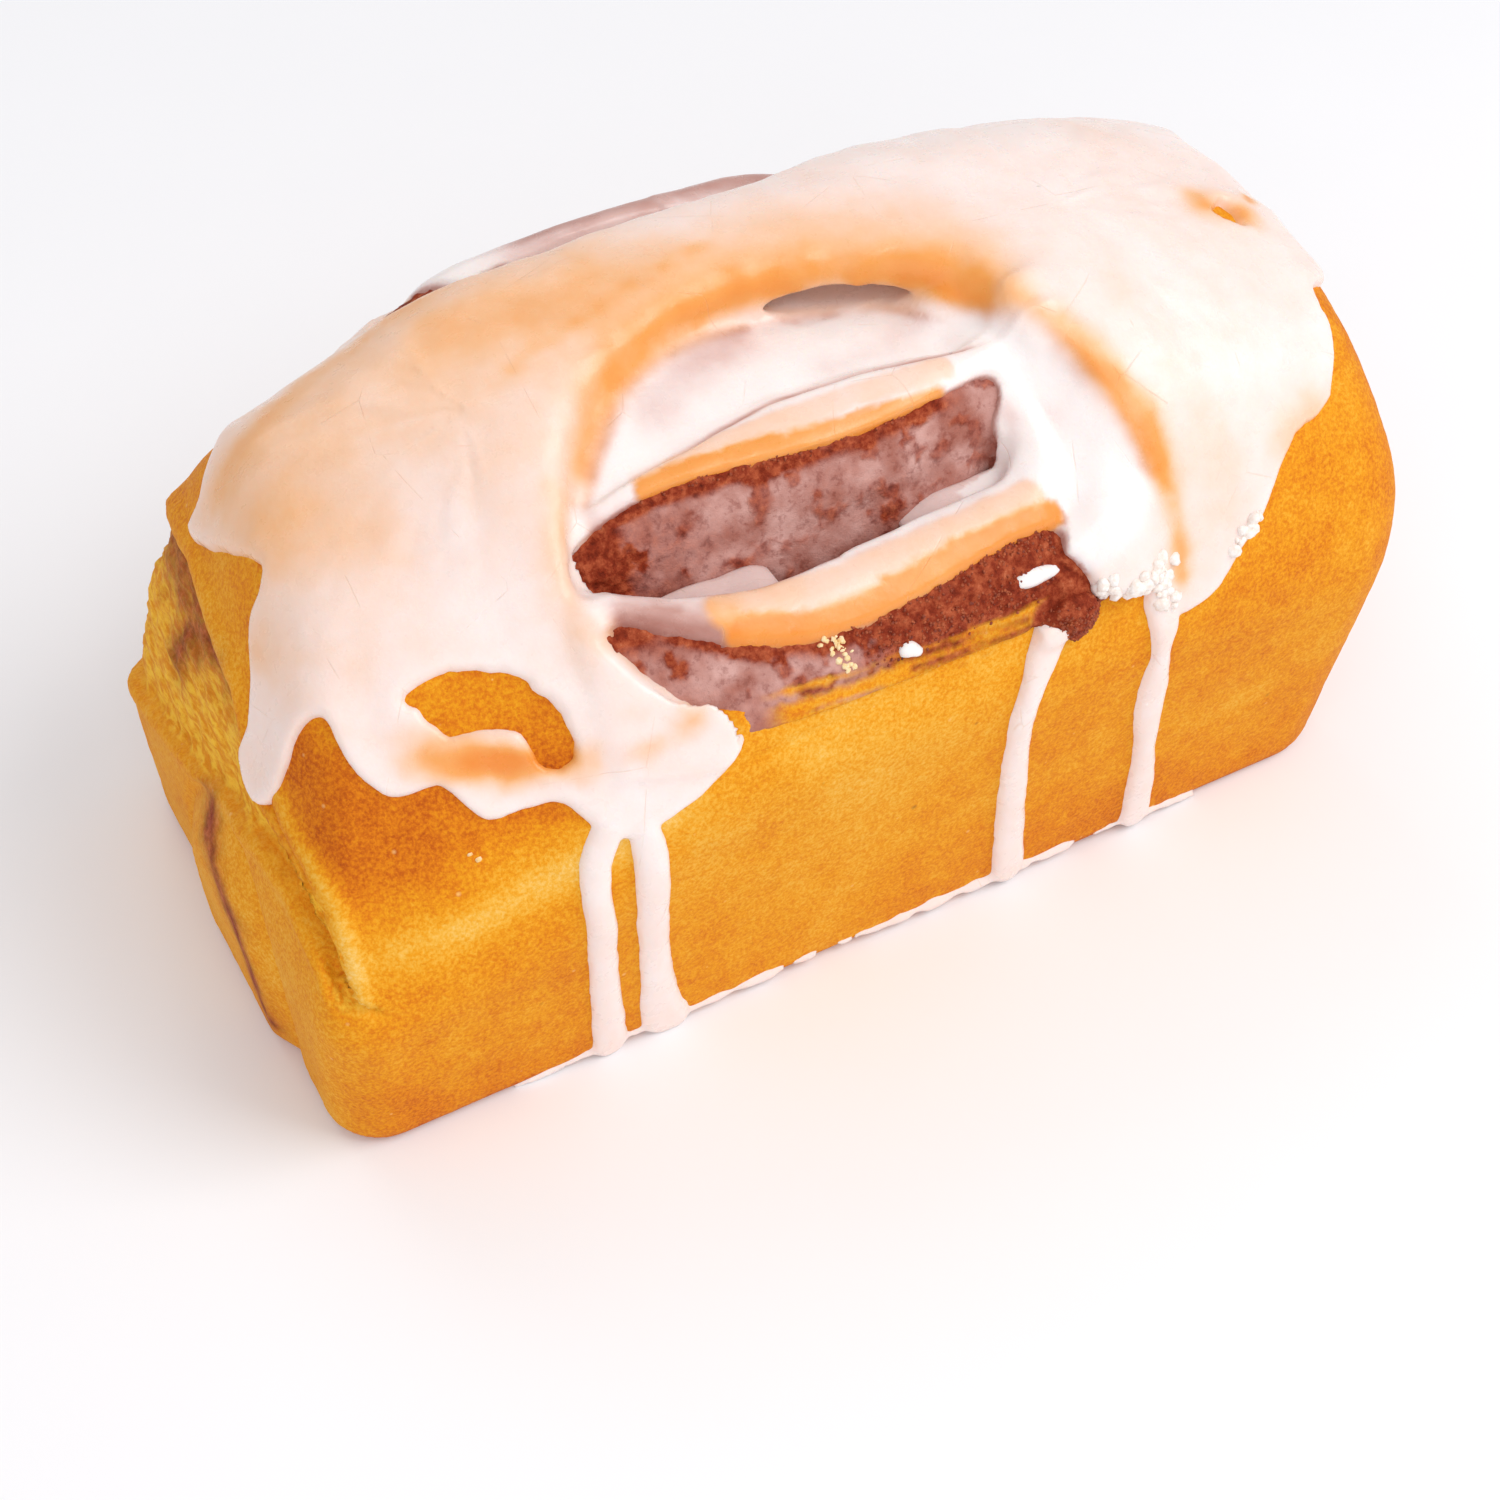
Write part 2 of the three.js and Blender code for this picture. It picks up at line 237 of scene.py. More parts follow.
@dataclass(frozen=True)
class Roll:
    """A length of rolled dough that shows in an opening.

    Attributes:
        crest: Front edge of its top face, as (x, y, z) points.
        rear: Back edge of its top face, as (x, y, z) points.
        lean: How far its front face slopes forward on the way down, in degrees.
        ends: X where it begins and where it ends.
        edge: Roundness of its top edges.
        round: Roundness of its ends.
        slant: How far its right end moves out for each millimetre of height.
        pivot: Height at which its right end stands where ends says.
        depth: How far its body reaches down below its top.
        shows: X where its face starts and ends to show, each as a span over which the glaze thins out.
        foot: Height of its face's lower edge.
    """

    crest: Knots
    rear: Knots
    lean: float
    ends: tuple[float, float]
    edge: float = 1.5
    round: float = 4.5
    slant: float = 0.0
    pivot: float = 92.0
    depth: float = 26.0
    shows: tuple[float, float, float, float] = (90.0, 91.0, 92.0, 93.0)
    foot: float = 80.0

    def parts(self, x: Array, y: Array, z: Array) -> tuple[Array, Array]:
        """Fields of the half spaces behind its front face and below its top.

        Args:
            x: Along the loaf.
            y: Across the loaf.
            z: Heights.

        Returns:
            The front face's field and the top's field.
        """
        front_y, front_z = curve(self.crest, 4, 1)(x), curve(self.crest, 4, 2)(x)
        back_y, back_z = curve(self.rear, 4, 1)(x), curve(self.rear, 4, 2)(x)
        lean = math.radians(self.lean)
        below = front_z - z
        belly = 0.9 * np.sin(np.clip(below / 12.0, 0.0, 1.0) * math.pi)
        face = (front_y - y) * math.cos(lean) - below * math.sin(lean) - belly
        width = np.hypot(back_y - front_y, back_z - front_z)
        across = np.clip((y - front_y) / (back_y - front_y), 0.0, 1.0)
        crown = 1.1 * np.sin(across * math.pi)
        top = ((z - front_z) * (back_y - front_y) - (y - front_y) * (back_z - front_z)) / width - crown
        return face, top

    def bare(self, x: Array, y: Array, z: Array) -> Array:
        """Where its front face is free of glaze, from 0 to 1.

        Args:
            x: Along the loaf.
            y: Across the loaf.
            z: Heights.

        Returns:
            The share at each place.
        """
        face, top = self.parts(x, y, z)
        side = ramp(-0.3, 1.5, face - top) * (1.0 - ramp(1.4, 2.8, face))
        side = side * ramp(self.foot - 2.0, self.foot, z)
        slanted = x - 0.85 * (self.foot + 12.0 - z)
        ragged = x + 1.2 * np.sin(z * 0.45 + 0.3 * y)
        on_roll = 1.0 - ramp(0.9, 2.2, self.body(face, top, x, y, z))
        return on_roll * side * ramp(*self.shows[:2], slanted) * (1.0 - ramp(*self.shows[2:], ragged))

    def field(self, x: Array, y: Array, z: Array) -> Array:
        """The roll's own solid."""
        return self.body(*self.parts(x, y, z), x, y, z)

    def body(self, face: Array, top: Array, x: Array, y: Array, z: Array) -> Array:
        """The solid between the roll's front face, its top, its back and its ends.

        Args:
            face: The front face's field.
            top: The top's field.
            x: Along the loaf.
            y: Across the loaf.
            z: Heights.

        Returns:
            The solid's field.
        """
        back = y - curve(self.rear, 4, 1)(x)
        middle, half = (self.ends[0] + self.ends[1]) / 2.0, (self.ends[1] - self.ends[0]) / 2.0
        ends = np.abs(x - middle - self.slant * (z - self.pivot) * (x > 0)) - half
        body = smooth_max(smooth_max(face, top, self.edge), back, 1.6)
        body = smooth_max(body, ends, self.round)
        return smooth_max(body, -top - self.depth, 3.0)


@dataclass(frozen=True)
class Loaf:
    """The baked loaf as signed fields: negative inside, positive outside, about a distance near the skin.

    Attributes:
        base_half: Half the base's length and width.
        rim_height: Height of the tin's rim.
        lean: How far the end and side walls lean out up to the rim.
        height: Height of the crown's top.
        ridge: Place of the crown's top.
        edge_round: Roundness of the base's edge.
        mouth_centre: Y and Z of the middle of the front opening's rim.
        mouth_tilt: How far the front opening faces forward, in degrees.
        mouth_depth: Depth of the front opening below its rim.
        arch_gap: The gap under the arch of crust behind the front opening, before it is turned.
        rear_bowl: The rear opening's hollow.
        fold_centre: Y and Z of the middle of the folded lobe of dough on the left end.
        fold_half: Half the lobe's width and height.
        upper: The upper roll in the front opening.
        lower: The lower roll in the front opening.
        inner: The roll behind them, under the arch.
        rear: The roll in the rear opening.
        saddle: Dough that joins the upper roll's right end to the lower roll.
        coil: The outer turn of dough that curves down on the right of both rolls.
    """

    base_half: tuple[float, float] = (105.0, 50.5)
    rim_height: float = 60.0
    lean: tuple[float, float] = (3.5, 5.5)
    height: float = 111.0
    ridge: tuple[float, float] = (2.0, 12.0)
    edge_round: float = 3.5
    mouth_centre: tuple[float, float] = (-25.0, 93.0)
    mouth_tilt: float = 35.2
    mouth_depth: float = 13.0
    arch_gap: Blob = Blob((0.0, 6.0, 102.4), (20.0, 12.0, 3.8))
    rear_bowl: Blob = Blob((-10.0, 44.0, 101.0), (47.0, 16.5, 17.0))
    fold_centre: tuple[float, float] = (-7.0, 12.0)
    fold_half: tuple[float, float] = (21.0, 31.0)
    upper: Roll = Roll(
        crest=(
            (-49, -24, 92), (-42, -22.5, 96.5), (-30, -23, 98.5), (-16, -25, 99), (7, -24.5, 99.5),
            (23, -24, 99.5), (35, -21, 98.5),
        ),
        rear=(
            (-49, -19, 92), (-30, -17.5, 98), (-14, -15.5, 99.5), (0, -14.5, 100.2), (10, -15.2, 100.8),
            (20, -17.5, 100.8), (32, -19, 100.2),
        ),
        lean=22.0,
        ends=(-54.0, 31.0),
        round=3.5,
        slant=0.4,
        shows=(-58.0, -47.0, 25.0, 30.0),
        foot=81.0,
    )
    lower: Roll = Roll(
        crest=(
            (-46, -37, 88), (-38, -40.8, 86), (-31, -43.8, 83.2), (-20, -46.8, 81.2), (-10, -47.6, 81.6),
            (3, -47, 82.8), (19, -45.4, 84), (31, -44.3, 83),
        ),
        rear=(
            (-46, -31, 89), (-35, -35.8, 86.4), (-22, -37.6, 85.4), (-7, -38.2, 85.5), (5, -37.8, 86),
            (17, -36.4, 86.3), (31, -35.4, 86.6),
        ),
        lean=34.0,
        ends=(-52.0, 30.5),
        shows=(-50.0, -43.0, 28.0, 31.0),
        foot=72.0,
    )
    inner: Roll = Roll(
        crest=(
            (-44, -19, 95), (-25, -16.5, 98), (-8, -14.5, 98.9), (8, -14.5, 99.3), (22, -17, 98.8),
            (44, -18, 95),
        ),
        rear=(
            (-44, 16, 101), (-25, 17, 106), (-12, 18, 102.4), (0, 18, 98.4), (10, 18, 97.2), (21, 18, 97.2),
            (32, 17, 100.4), (44, 16, 102),
        ),
        lean=8.0,
        ends=(-52.0, 41.0),
        round=11.0,
    )
    rear: Roll = Roll(
        crest=((-56, 39, 88), (-47, 38, 94), (-31, 38, 101), (-10, 38, 102.5), (8, 38, 101.5), (30, 38, 96)),
        rear=((-56, 48, 85), (-47, 50, 91), (-31, 50.5, 96.5), (-10, 51, 98), (8, 51, 97.5), (30, 50, 92)),
        lean=6.0,
        ends=(-58.0, 40.0),
        shows=(-58.0, -52.0, -33.0, -29.0),
        foot=86.0,
    )
    saddle: Stroke = Stroke(((32, -17, 95), (33.5, -24, 91), (33.5, -30, 87), (32, -34.5, 83.5)), 5.2)
    coil: Stroke = Stroke(
        ((30, -6, 97), (37.5, -13, 95), (41.5, -23, 90.5), (42, -33, 84.6), (39.5, -42, 78.8),
         (35, -48.5, 74.2)),
        6.4,
    )

    def crown_height(self, x: Array, y: Array) -> Array:
        """Height of the risen crown over a point of the base.

        Args:
            x: Along the loaf.
            y: Across the loaf.

        Returns:
            The height in millimetres.
        """
        along = (x - self.ridge[0]) / 100.0
        right_fall, left_fall = 15.0 * np.abs(along) ** 2.6, 24.0 * np.abs(along) ** 2.8
        fall = np.where(along > 0, right_fall, left_fall)
        left = 1.0 - ramp(-72.0, -34.0, x)
        front = y < self.ridge[1]
        drop = np.where(front, 38.0 + 15.0 * left - 2.0 * ramp(30.0, 80.0, x), 34.0 + 14.0 * left)
        power = np.where(front, 3.0 - 0.7 * left, 2.6 - 0.4 * left)
        span = np.where(front, 66.0, 46.0)
        return self.height - fall - drop * np.abs((y - self.ridge[1]) / span) ** power

    def wall(self, x: Array, y: Array, z: Array) -> Array:
        """Field of the tin's leaning walls with their rounded corners.

        Args:
            x: Along the loaf.
            y: Across the loaf.
            z: Heights.

        Returns:
            The field, negative between the walls.
        """
        up = np.clip(z / self.rim_height, 0.0, 1.0)
        radius = np.where((x < 0) & (y < 0), 10.0, 15.0)
        qx = np.abs(x) - self.base_half[0] - self.lean[0] * up + radius
        qy = np.abs(y) - self.base_half[1] - self.lean[1] * up + radius
        outside = np.hypot(np.maximum(qx, 0.0), np.maximum(qy, 0.0))
        return outside + np.minimum(np.maximum(qx, qy), 0.0) - radius

    def tear(self, x: Array, y: Array, z: Array) -> Array:
        """Where the left end tore open above the tin's wall, from 0 on crust to 1 on crumb."""
        low, high = self.tear_edges(y)
        return ramp(0.0, 1.1, z - low) * ramp(0.0, 1.1, high - z) * (1.0 - ramp(-92.0, -84.0, x))

    def tear_edges(self, y: Array) -> tuple[Array, Array]:
        """Heights of the tear's lower and upper edge.

        Args:
            y: Across the loaf.

        Returns:
            Both heights.
        """
        low = np.interp(y, (-56, -50, -44, -30, -20, 10, 30, 56), (34, 38, 45, 50, 50, 41, 35, 27))
        across = (-56, -50, -44, -37, -30, -22, -17, -10, -4, 6, 22, 40, 56)
        high = np.interp(y, across, (34, 39.5, 48, 52, 54.5, 56.5, 58.5, 63, 68, 70, 73, 70, 58))
        return low, high

    def end_fold(self, y: Array, z: Array) -> Array:
        """Distance out from the middle of the folded lobe of dough on the left end, 1 at its edge."""
        (cy, cz), (ry, rz) = self.fold_centre, self.fold_half
        return np.hypot((y - cy) / ry, (z - cz) / rz)

    def hull(self, x: Array, y: Array, z: Array) -> Array:
        """The whole loaf before its openings.

        Args:
            x: Along the loaf.
            y: Across the loaf.
            z: Heights.

        Returns:
            The solid's field.
        """
        crown = (z - self.crown_height(x, y)) * 0.75
        left = 1.0 - ramp(-105.0, -60.0, x)
        shoulder = 14.0 + left * (18.0 * ramp(-52.0, -28.0, y) - 9.0)
        skin = smooth_max(self.wall(x, y, z), crown, shoulder)
        torn_face = -0.95 * (x + 107.0) + 0.31 * (z - 44.0)
        torn_face = torn_face + 4.0 * ramp(0.0, 50.0, y) * ramp(44.0, 80.0, z)
        skin = smooth_max(skin, torn_face, 8.0)
        at_end = 1.0 - ramp(-98.0, -90.0, x)
        fold = self.end_fold(y, z)
        skin = skin - at_end * 2.4 * (1.0 - ramp(0.7, 1.0, fold)) + at_end * 1.2 * bell(fold - 1.05, 0.06)
        low, high = self.tear_edges(y)
        lips = 1.1 * bell(z - high - 2.2, 2.4) + 0.7 * bell(z - low + 1.4, 1.5)
        skin = skin + 2.4 * self.tear(x, y, z) - lips * (1.0 - ramp(-95.0, -88.0, x)) * ramp(-52.0, -42.0, y)
        return smooth_max(skin, -z, self.edge_round)

    def mouth(self, x: Array, y: Array, z: Array) -> tuple[Array, Array]:
        """The front opening's outline and depth in its own tilted frame.

        Args:
            x: Along the loaf.
            y: Across the loaf.
            z: Heights.

        Returns:
            The outline's field, negative inside, and the height above the opening's plane.
        """
        tilt = math.radians(self.mouth_tilt)
        y0, z0 = self.mouth_centre
        down = -(y - y0) * math.cos(tilt) - (z - z0) * math.sin(tilt)
        out = -(y - y0) * math.sin(tilt) + (z - z0) * math.cos(tilt)
        shift = x + 3.0 - 0.25 * np.maximum(down - 7.0, 0.0)
        lengthwise = np.where(down < 12.0, ((down - 12.0) / 43.0) ** 2, ((down - 12.0) / 22.8) ** 4)
        outline = (np.sqrt((shift / 50.0) ** 2 + lengthwise) - 1.0) * 36.0
        return outline + np.maximum(1.0 - out, 0.0) * 0.85 * ramp(-24.0, -4.0, down), out

    def cavity(self, x: Array, y: Array, z: Array) -> Array:
        """The front opening's hollow."""
        outline, out = self.mouth(x, y, z)
        return smooth_max(outline, -(out + self.mouth_depth), 8.0)

    def undercut(self, x: Array, y: Array, z: Array) -> Array:
        """The gap below the arch of crust behind the front opening."""
        along = x - 15.5
        return self.arch_gap.field(along, y + 0.28 * along, z)

    def rear_cavity(self, x: Array, y: Array, z: Array) -> Array:
        """The rear opening's hollow."""
        return (self.rear_bowl.reach(x, y, z) - 1.0) * 16.0

    def crust(self, x: Array, y: Array, z: Array, hull: Array | None = None) -> Array:
        """The loaf with its openings hollowed out, without the rolls in them.

        Args:
            x: Along the loaf.
            y: Across the loaf.
            z: Heights.
            hull: The whole loaf's field there, if it is known.

        Returns:
            The solid's field.
        """
        hull = self.hull(x, y, z) if hull is None else hull
        lip = 4.0 + 7.5 * ramp(-30.0, -6.0, y)
        shell = smooth_max(hull, -self.cavity(x, y, z), lip)
        shell = smooth_max(shell, -self.undercut(x, y, z), 1.0)
        return smooth_max(shell, -self.rear_cavity(x, y, z), 5.0)

    def rolls(self, x: Array, y: Array, z: Array, blend: float, hull: Array | None = None) -> Array:
        """The rolls of dough in both openings, joined over a blend.

        Args:
            x: Along the loaf.
            y: Across the loaf.
            z: Heights.
            blend: Width of the filled creases between them.
            hull: The whole loaf's field there, if it is known.

        Returns:
            The solid's field.
        """
        hull = self.hull(x, y, z) if hull is None else hull
        joined = smooth_min(self.upper.field(x, y, z), self.lower.field(x, y, z), 1.0 + blend)
        joined = smooth_min(joined, self.inner.field(x, y, z), blend)
        for lobe in (self.coil, self.saddle):
            joined = smooth_min(joined, lobe.reach(x, y, z) - lobe.width, 1.0 + 3.0 * blend)
        joined = smooth_min(joined, self.rear.field(x, y, z), blend)
        return smooth_max(smooth_max(joined, hull - 1.2, 1.5), 70.0 - z, 1.0)

    def filled(self, x: Array, y: Array, z: Array) -> Array:
        """The surface that poured glaze levels out to: creases filled, edges softened.

        Args:
            x: Along the loaf.
            y: Across the loaf.
            z: Heights.

        Returns:
            The solid's field.
        """
        blend = 3.5 + 6.5 * ramp(30.0, 37.0, x) * (1.0 - ramp(50.0, 60.0, x)) * (1.0 - ramp(0.0, 6.0, y))
        arch_gap = ramp(-6.0, 2.0, x) * (1.0 - ramp(26.0, 32.0, x)) * ramp(-9.0, -3.0, y)
        hull = self.hull(x, y, z)
        return smooth_min(self.crust(x, y, z, hull), self.rolls(x, y, z, 1.0, hull), blend - 2.7 * arch_gap)


# The split in the crust from the torn end down the front left corner, its lips, and the cinnamon there.
FISSURE: Stroke = Stroke(
    ((-101.8, -20, 60.5), (-102.1, -26, 57.5), (-101.7, -34, 55), (-101.1, -40, 52), (-101.2, -44.5, 46),
     (-101.4, -48.3, 39)),
    1.5,
)
FISSURE_LIP: Stroke = Stroke(
    ((-100, -22, 63), (-100.5, -28, 60.5), (-100, -36, 58), (-99, -42.5, 54.5), (-99, -47, 48),
     (-99.3, -50.5, 40)),
    1.9,
)
END_STREAKS: Sequence[Stroke] = (
    Stroke(((-107, -1, 41), (-107.2, -6, 33), (-107.4, -14, 25), (-107.5, -19, 17), (-107.3, -21, 8)), 4.0),
    Stroke(((-97, 4, 67), (-98, 14, 63), (-99, 21, 58), (-100, 24, 52)), 4.5, 0.9),
)
# Where cinnamon shows between the layers of dough below the front opening.
SEAM_STREAKS: Sequence[Stroke] = (
    Stroke(((-30, -51, 74.5), (-18, -52, 74), (-4, -52.5, 74.4), (10, -53, 73.5), (26, -53.5, 72.5)), 0.9),
    Stroke(((-2, -53, 72), (10, -53.4, 71.4), (20, -53.6, 71), (32, -54, 71)), 0.8, 0.95),
    Stroke(((4, -53.6, 69), (15, -53.9, 68.2), (27, -54.2, 68.4)), 0.45, 0.8),
    Stroke(((-24, -52.5, 71.5), (-16, -53, 71), (-8, -53.4, 70.6)), 0.45, 0.7),
)


def near_seam(points: Array) -> Array:
    """Points moved about so that the seam's streaks wander."""
    return points + 0.7 * drift(points, 4.0, 3, (8, 9, 10), (0.5, 1.0, 1.0))


# ---- where the glaze lies


@dataclass(frozen=True)
class Chart:
    """Flat coordinates on the loaf's skin: place around it and height up it.

    Attributes:
        half_core: Half the length of the line inside the loaf that the skin is seen from.
        core_height: Height of that line.
        end_radius: Distance at which places around the loaf's ends are true to size.
        climb_radius: The same for heights.
    """

    half_core: float = 55.0
    core_height: float = 45.0
    end_radius: float = 54.0
    climb_radius: float = 55.0

    def __call__(self, x: Array, y: Array, z: Array) -> tuple[Array, Array]:
        """Place around the loaf (0 at the middle of the front) and height up it.

        Args:
            x: Along the loaf.
            y: Across the loaf.
            z: Heights.

        Returns:
            Places around, from the middle of the front, and heights.
        """
        beyond = np.maximum(np.abs(x) - self.half_core, 0.0)
        turn = np.arctan2(y, beyond) + math.pi / 2.0
        half_loop = 2.0 * self.half_core + self.end_radius * math.pi
        side = np.where(x < 0, -1.0, 1.0)
        at_end = side * (self.half_core + self.end_radius * turn)
        straight = np.where(y < 0, x, side * (half_loop - np.abs(x)))
        around = np.where(beyond > 0, at_end, straight)
        climb = np.arctan2(z - self.core_height, np.hypot(beyond, y))
        return around, self.core_height + self.climb_radius * climb


@dataclass(frozen=True)
class Raster:
    """A quantity over the chart, read back by blending between its cells.

    Attributes:
        values: The quantity in each cell.
        low: Place and height of the first cell.
        pitch: Size of the cells in millimetres.
    """

    values: Array
    low: tuple[float, float]
    pitch: float

    def __call__(self, around: Array, height: Array) -> Array:
        """The quantity at places on the chart.

        Args:
            around: Places around the loaf.
            height: Heights up the loaf.

        Returns:
            The quantity at each place.
        """
        i = np.clip((around - self.low[0]) / self.pitch, 0.0, self.values.shape[0] - 1.001)
        j = np.clip((height - self.low[1]) / self.pitch, 0.0, self.values.shape[1] - 1.001)
        i0, j0 = i.astype(np.int32), j.astype(np.int32)
        fi, fj = (i - i0).astype(np.float32), (j - j0).astype(np.float32)
        v = self.values
        near = v[i0, j0] * (1 - fj) + v[i0, j0 + 1] * fj
        far = v[i0 + 1, j0] * (1 - fj) + v[i0 + 1, j0 + 1] * fj
        return near * (1 - fi) + far * fi


def spline(points: Knots, steps: int, closed: bool) -> Array:
    """Catmull-Rom curve through points.

    Args:
        points: The points it passes.
        steps: Straight pieces between two points.
        closed: Whether it returns to its first point.

    Returns:
        The curve's points as an (n, 2) array.
    """
    p = np.array(points, float)
    ends = (p[-1], p[0], p[1]) if closed else (p[0], p[-1], p[-1])
    q = np.vstack([ends[0], p, ends[1], ends[2]]) if closed else np.vstack([ends[0], p, ends[1]])
    t = np.linspace(0.0, 1.0, steps, endpoint=False)[:, None]
    out = []
    for a, b, c, d in zip(q[:-3], q[1:-2], q[2:-1], q[3:]):
        out.append(b + 0.5 * t * (c - a + t * (2 * a - 5 * b + 4 * c - d + t * (3 * (b - c) + d - a))))
    return np.vstack(out if closed else [*out, p[-1:]])


def inside_distance(outline: Array, around: Array, height: Array) -> Array:
    """Distance to a closed outline: positive inside, negative outside.

    Args:
        outline: The outline's points as an (n, 2) array.
        around: Places around the loaf.
        height: Heights up the loaf.

    Returns:
        The signed distance at each place.
    """
    best = np.full(around.shape, 1e9)
    inside = np.zeros(around.shape, bool)
    for (ax, ay), (bx, by) in zip(outline, np.roll(outline, -1, axis=0)):
        ex, ey = bx - ax, by - ay
        length = ex * ex + ey * ey + 1e-12
        t = np.clip(((around - ax) * ex + (height - ay) * ey) / length, 0.0, 1.0)
        best = np.minimum(best, (around - ax - t * ex) ** 2 + (height - ay - t * ey) ** 2)
        crosses = (ay > height) != (by > height)
        inside ^= crosses & (around < ax + (height - ay) * ex / (ey + 1e-12))
    return np.where(inside, 1.0, -1.0) * np.sqrt(best)


@dataclass(frozen=True)
class Run:
    """A run of glaze down a wall: points of its middle with its half width at each."""

    path: Knots

    def distance(self, around: Array, height: Array) -> Array:
        """How far inside the run a place is, in millimetres.

        Args:
            around: Places around the loaf.
            height: Heights up the loaf.

        Returns:
            The distance, negative outside the run.
        """
        path = spline(self.path, 6, closed=False)
        best = np.full(around.shape, -1e9)
        for (ax, ay, aw), (bx, by, bw) in zip(path[:-1], path[1:]):
            ex, ey = bx - ax, by - ay
            t = np.clip(((around - ax) * ex + (height - ay) * ey) / (ex * ex + ey * ey + 1e-12), 0.0, 1.0)
            reach = np.hypot(around - ax - t * ex, height - ay - t * ey)
            best = np.maximum(best, aw + (bw - aw) * t - reach)
        return best


# Lower edge of the poured sheet, from the left end round the front to the right end, then along the back.
SHEET_FRONT: Knots = (
    (-171, 85), (-170, 79), (-163, 82), (-151, 90), (-140, 94), (-135.5, 92), (-135, 86), (-129, 78),
    (-126.5, 71), (-126, 64.5), (-122, 60), (-117, 60), (-114, 64), (-113, 70), (-111.5, 77), (-107.5, 80),
    (-102, 75), (-96, 71), (-91.5, 70), (-85, 72), (-80, 68.6), (-76, 65.5), (-69, 67), (-63, 67), (-58, 61),
    (-54, 58), (-50, 58.5), (-41, 62.5), (-35.5, 66.5), (-33, 70.5), (-33.5, 73.5), (-35.5, 77), (-31, 80),
    (-24, 78), (-10, 77), (5, 78), (18, 80), (27, 80), (31, 77), (33, 73), (36, 71), (45, 68), (50, 62),
    (54, 61), (59, 63), (65, 68), (69.5, 71), (73, 74), (78, 78), (84.5, 80), (93, 79), (98.5, 81),
)
SHEET_REST: Knots = (
    (106, 84), (113, 88), (120, 84), (126, 87), (134, 88), (141, 83), (150, 86), (160, 90), (168, 84),
    (172, 73), (176, 71), (180, 80), (190, 86), (203, 80), (214, 78), (224, 66), (229, 58), (235, 60),
    (240, 74), (252, 80), (266, 76), (280, 79),
)
SHEET_REAR_LEFT: Knots = (
    (-280, 79), (-268, 82), (-256, 78), (-249, 62), (-244, 58), (-239, 66), (-232, 80), (-220, 84),
    (-208, 76), (-200, 70), (-195, 76), (-188, 86), (-180, 88),
)
BARE_PATCHES: Sequence[Knots] = (
    ((-93, 86), (-88, 89.5), (-80, 91), (-69, 90), (-62, 85), (-59, 78), (-60, 73), (-65, 74), (-69, 80),
     (-77, 81), (-83, 80.5), (-89, 84)),
    ((126, 99), (129, 102), (134, 101.5), (136, 99.5), (132, 98.5)),
)
RUNS: Sequence[Run] = (
    Run(((-56.5, 60, 2.6), (-59, 55, 2.7), (-59.6, 48, 2.4), (-59, 38, 2.7), (-58.6, 28, 2.8),
         (-57.6, 16, 3.1), (-56.8, 7.5, 3.6))),
    Run(((-51, 60, 2.4), (-50.4, 54.5, 2.8), (-49.8, 42, 3.0), (-49.2, 30, 2.9), (-48, 18, 3.2),
         (-46.6, 9.5, 4.2), (-45, 7, 4.0))),
    Run(((25.5, 68, 3.4), (23.4, 64, 3.0), (21.4, 58, 2.4), (20.4, 50, 2.5), (21.6, 36, 2.8), (23.6, 21, 3.2),
         (26, 8.5, 3.5))),
    Run(((47, 66, 3.0), (48.4, 61, 3.0), (48.6, 54, 2.0), (49.2, 46, 3.0), (50.4, 36, 3.0), (52, 26, 2.4),
         (53.8, 16, 3.1), (55, 8.5, 3.4))),
    Run(((-243.5, 62, 2.6), (-245, 50, 2.6), (-247, 34, 2.9), (-248, 18, 3.6))),
    Run(((230, 62, 2.6), (231, 50, 2.4), (229.5, 36, 2.7), (229, 26, 3.3))),
)
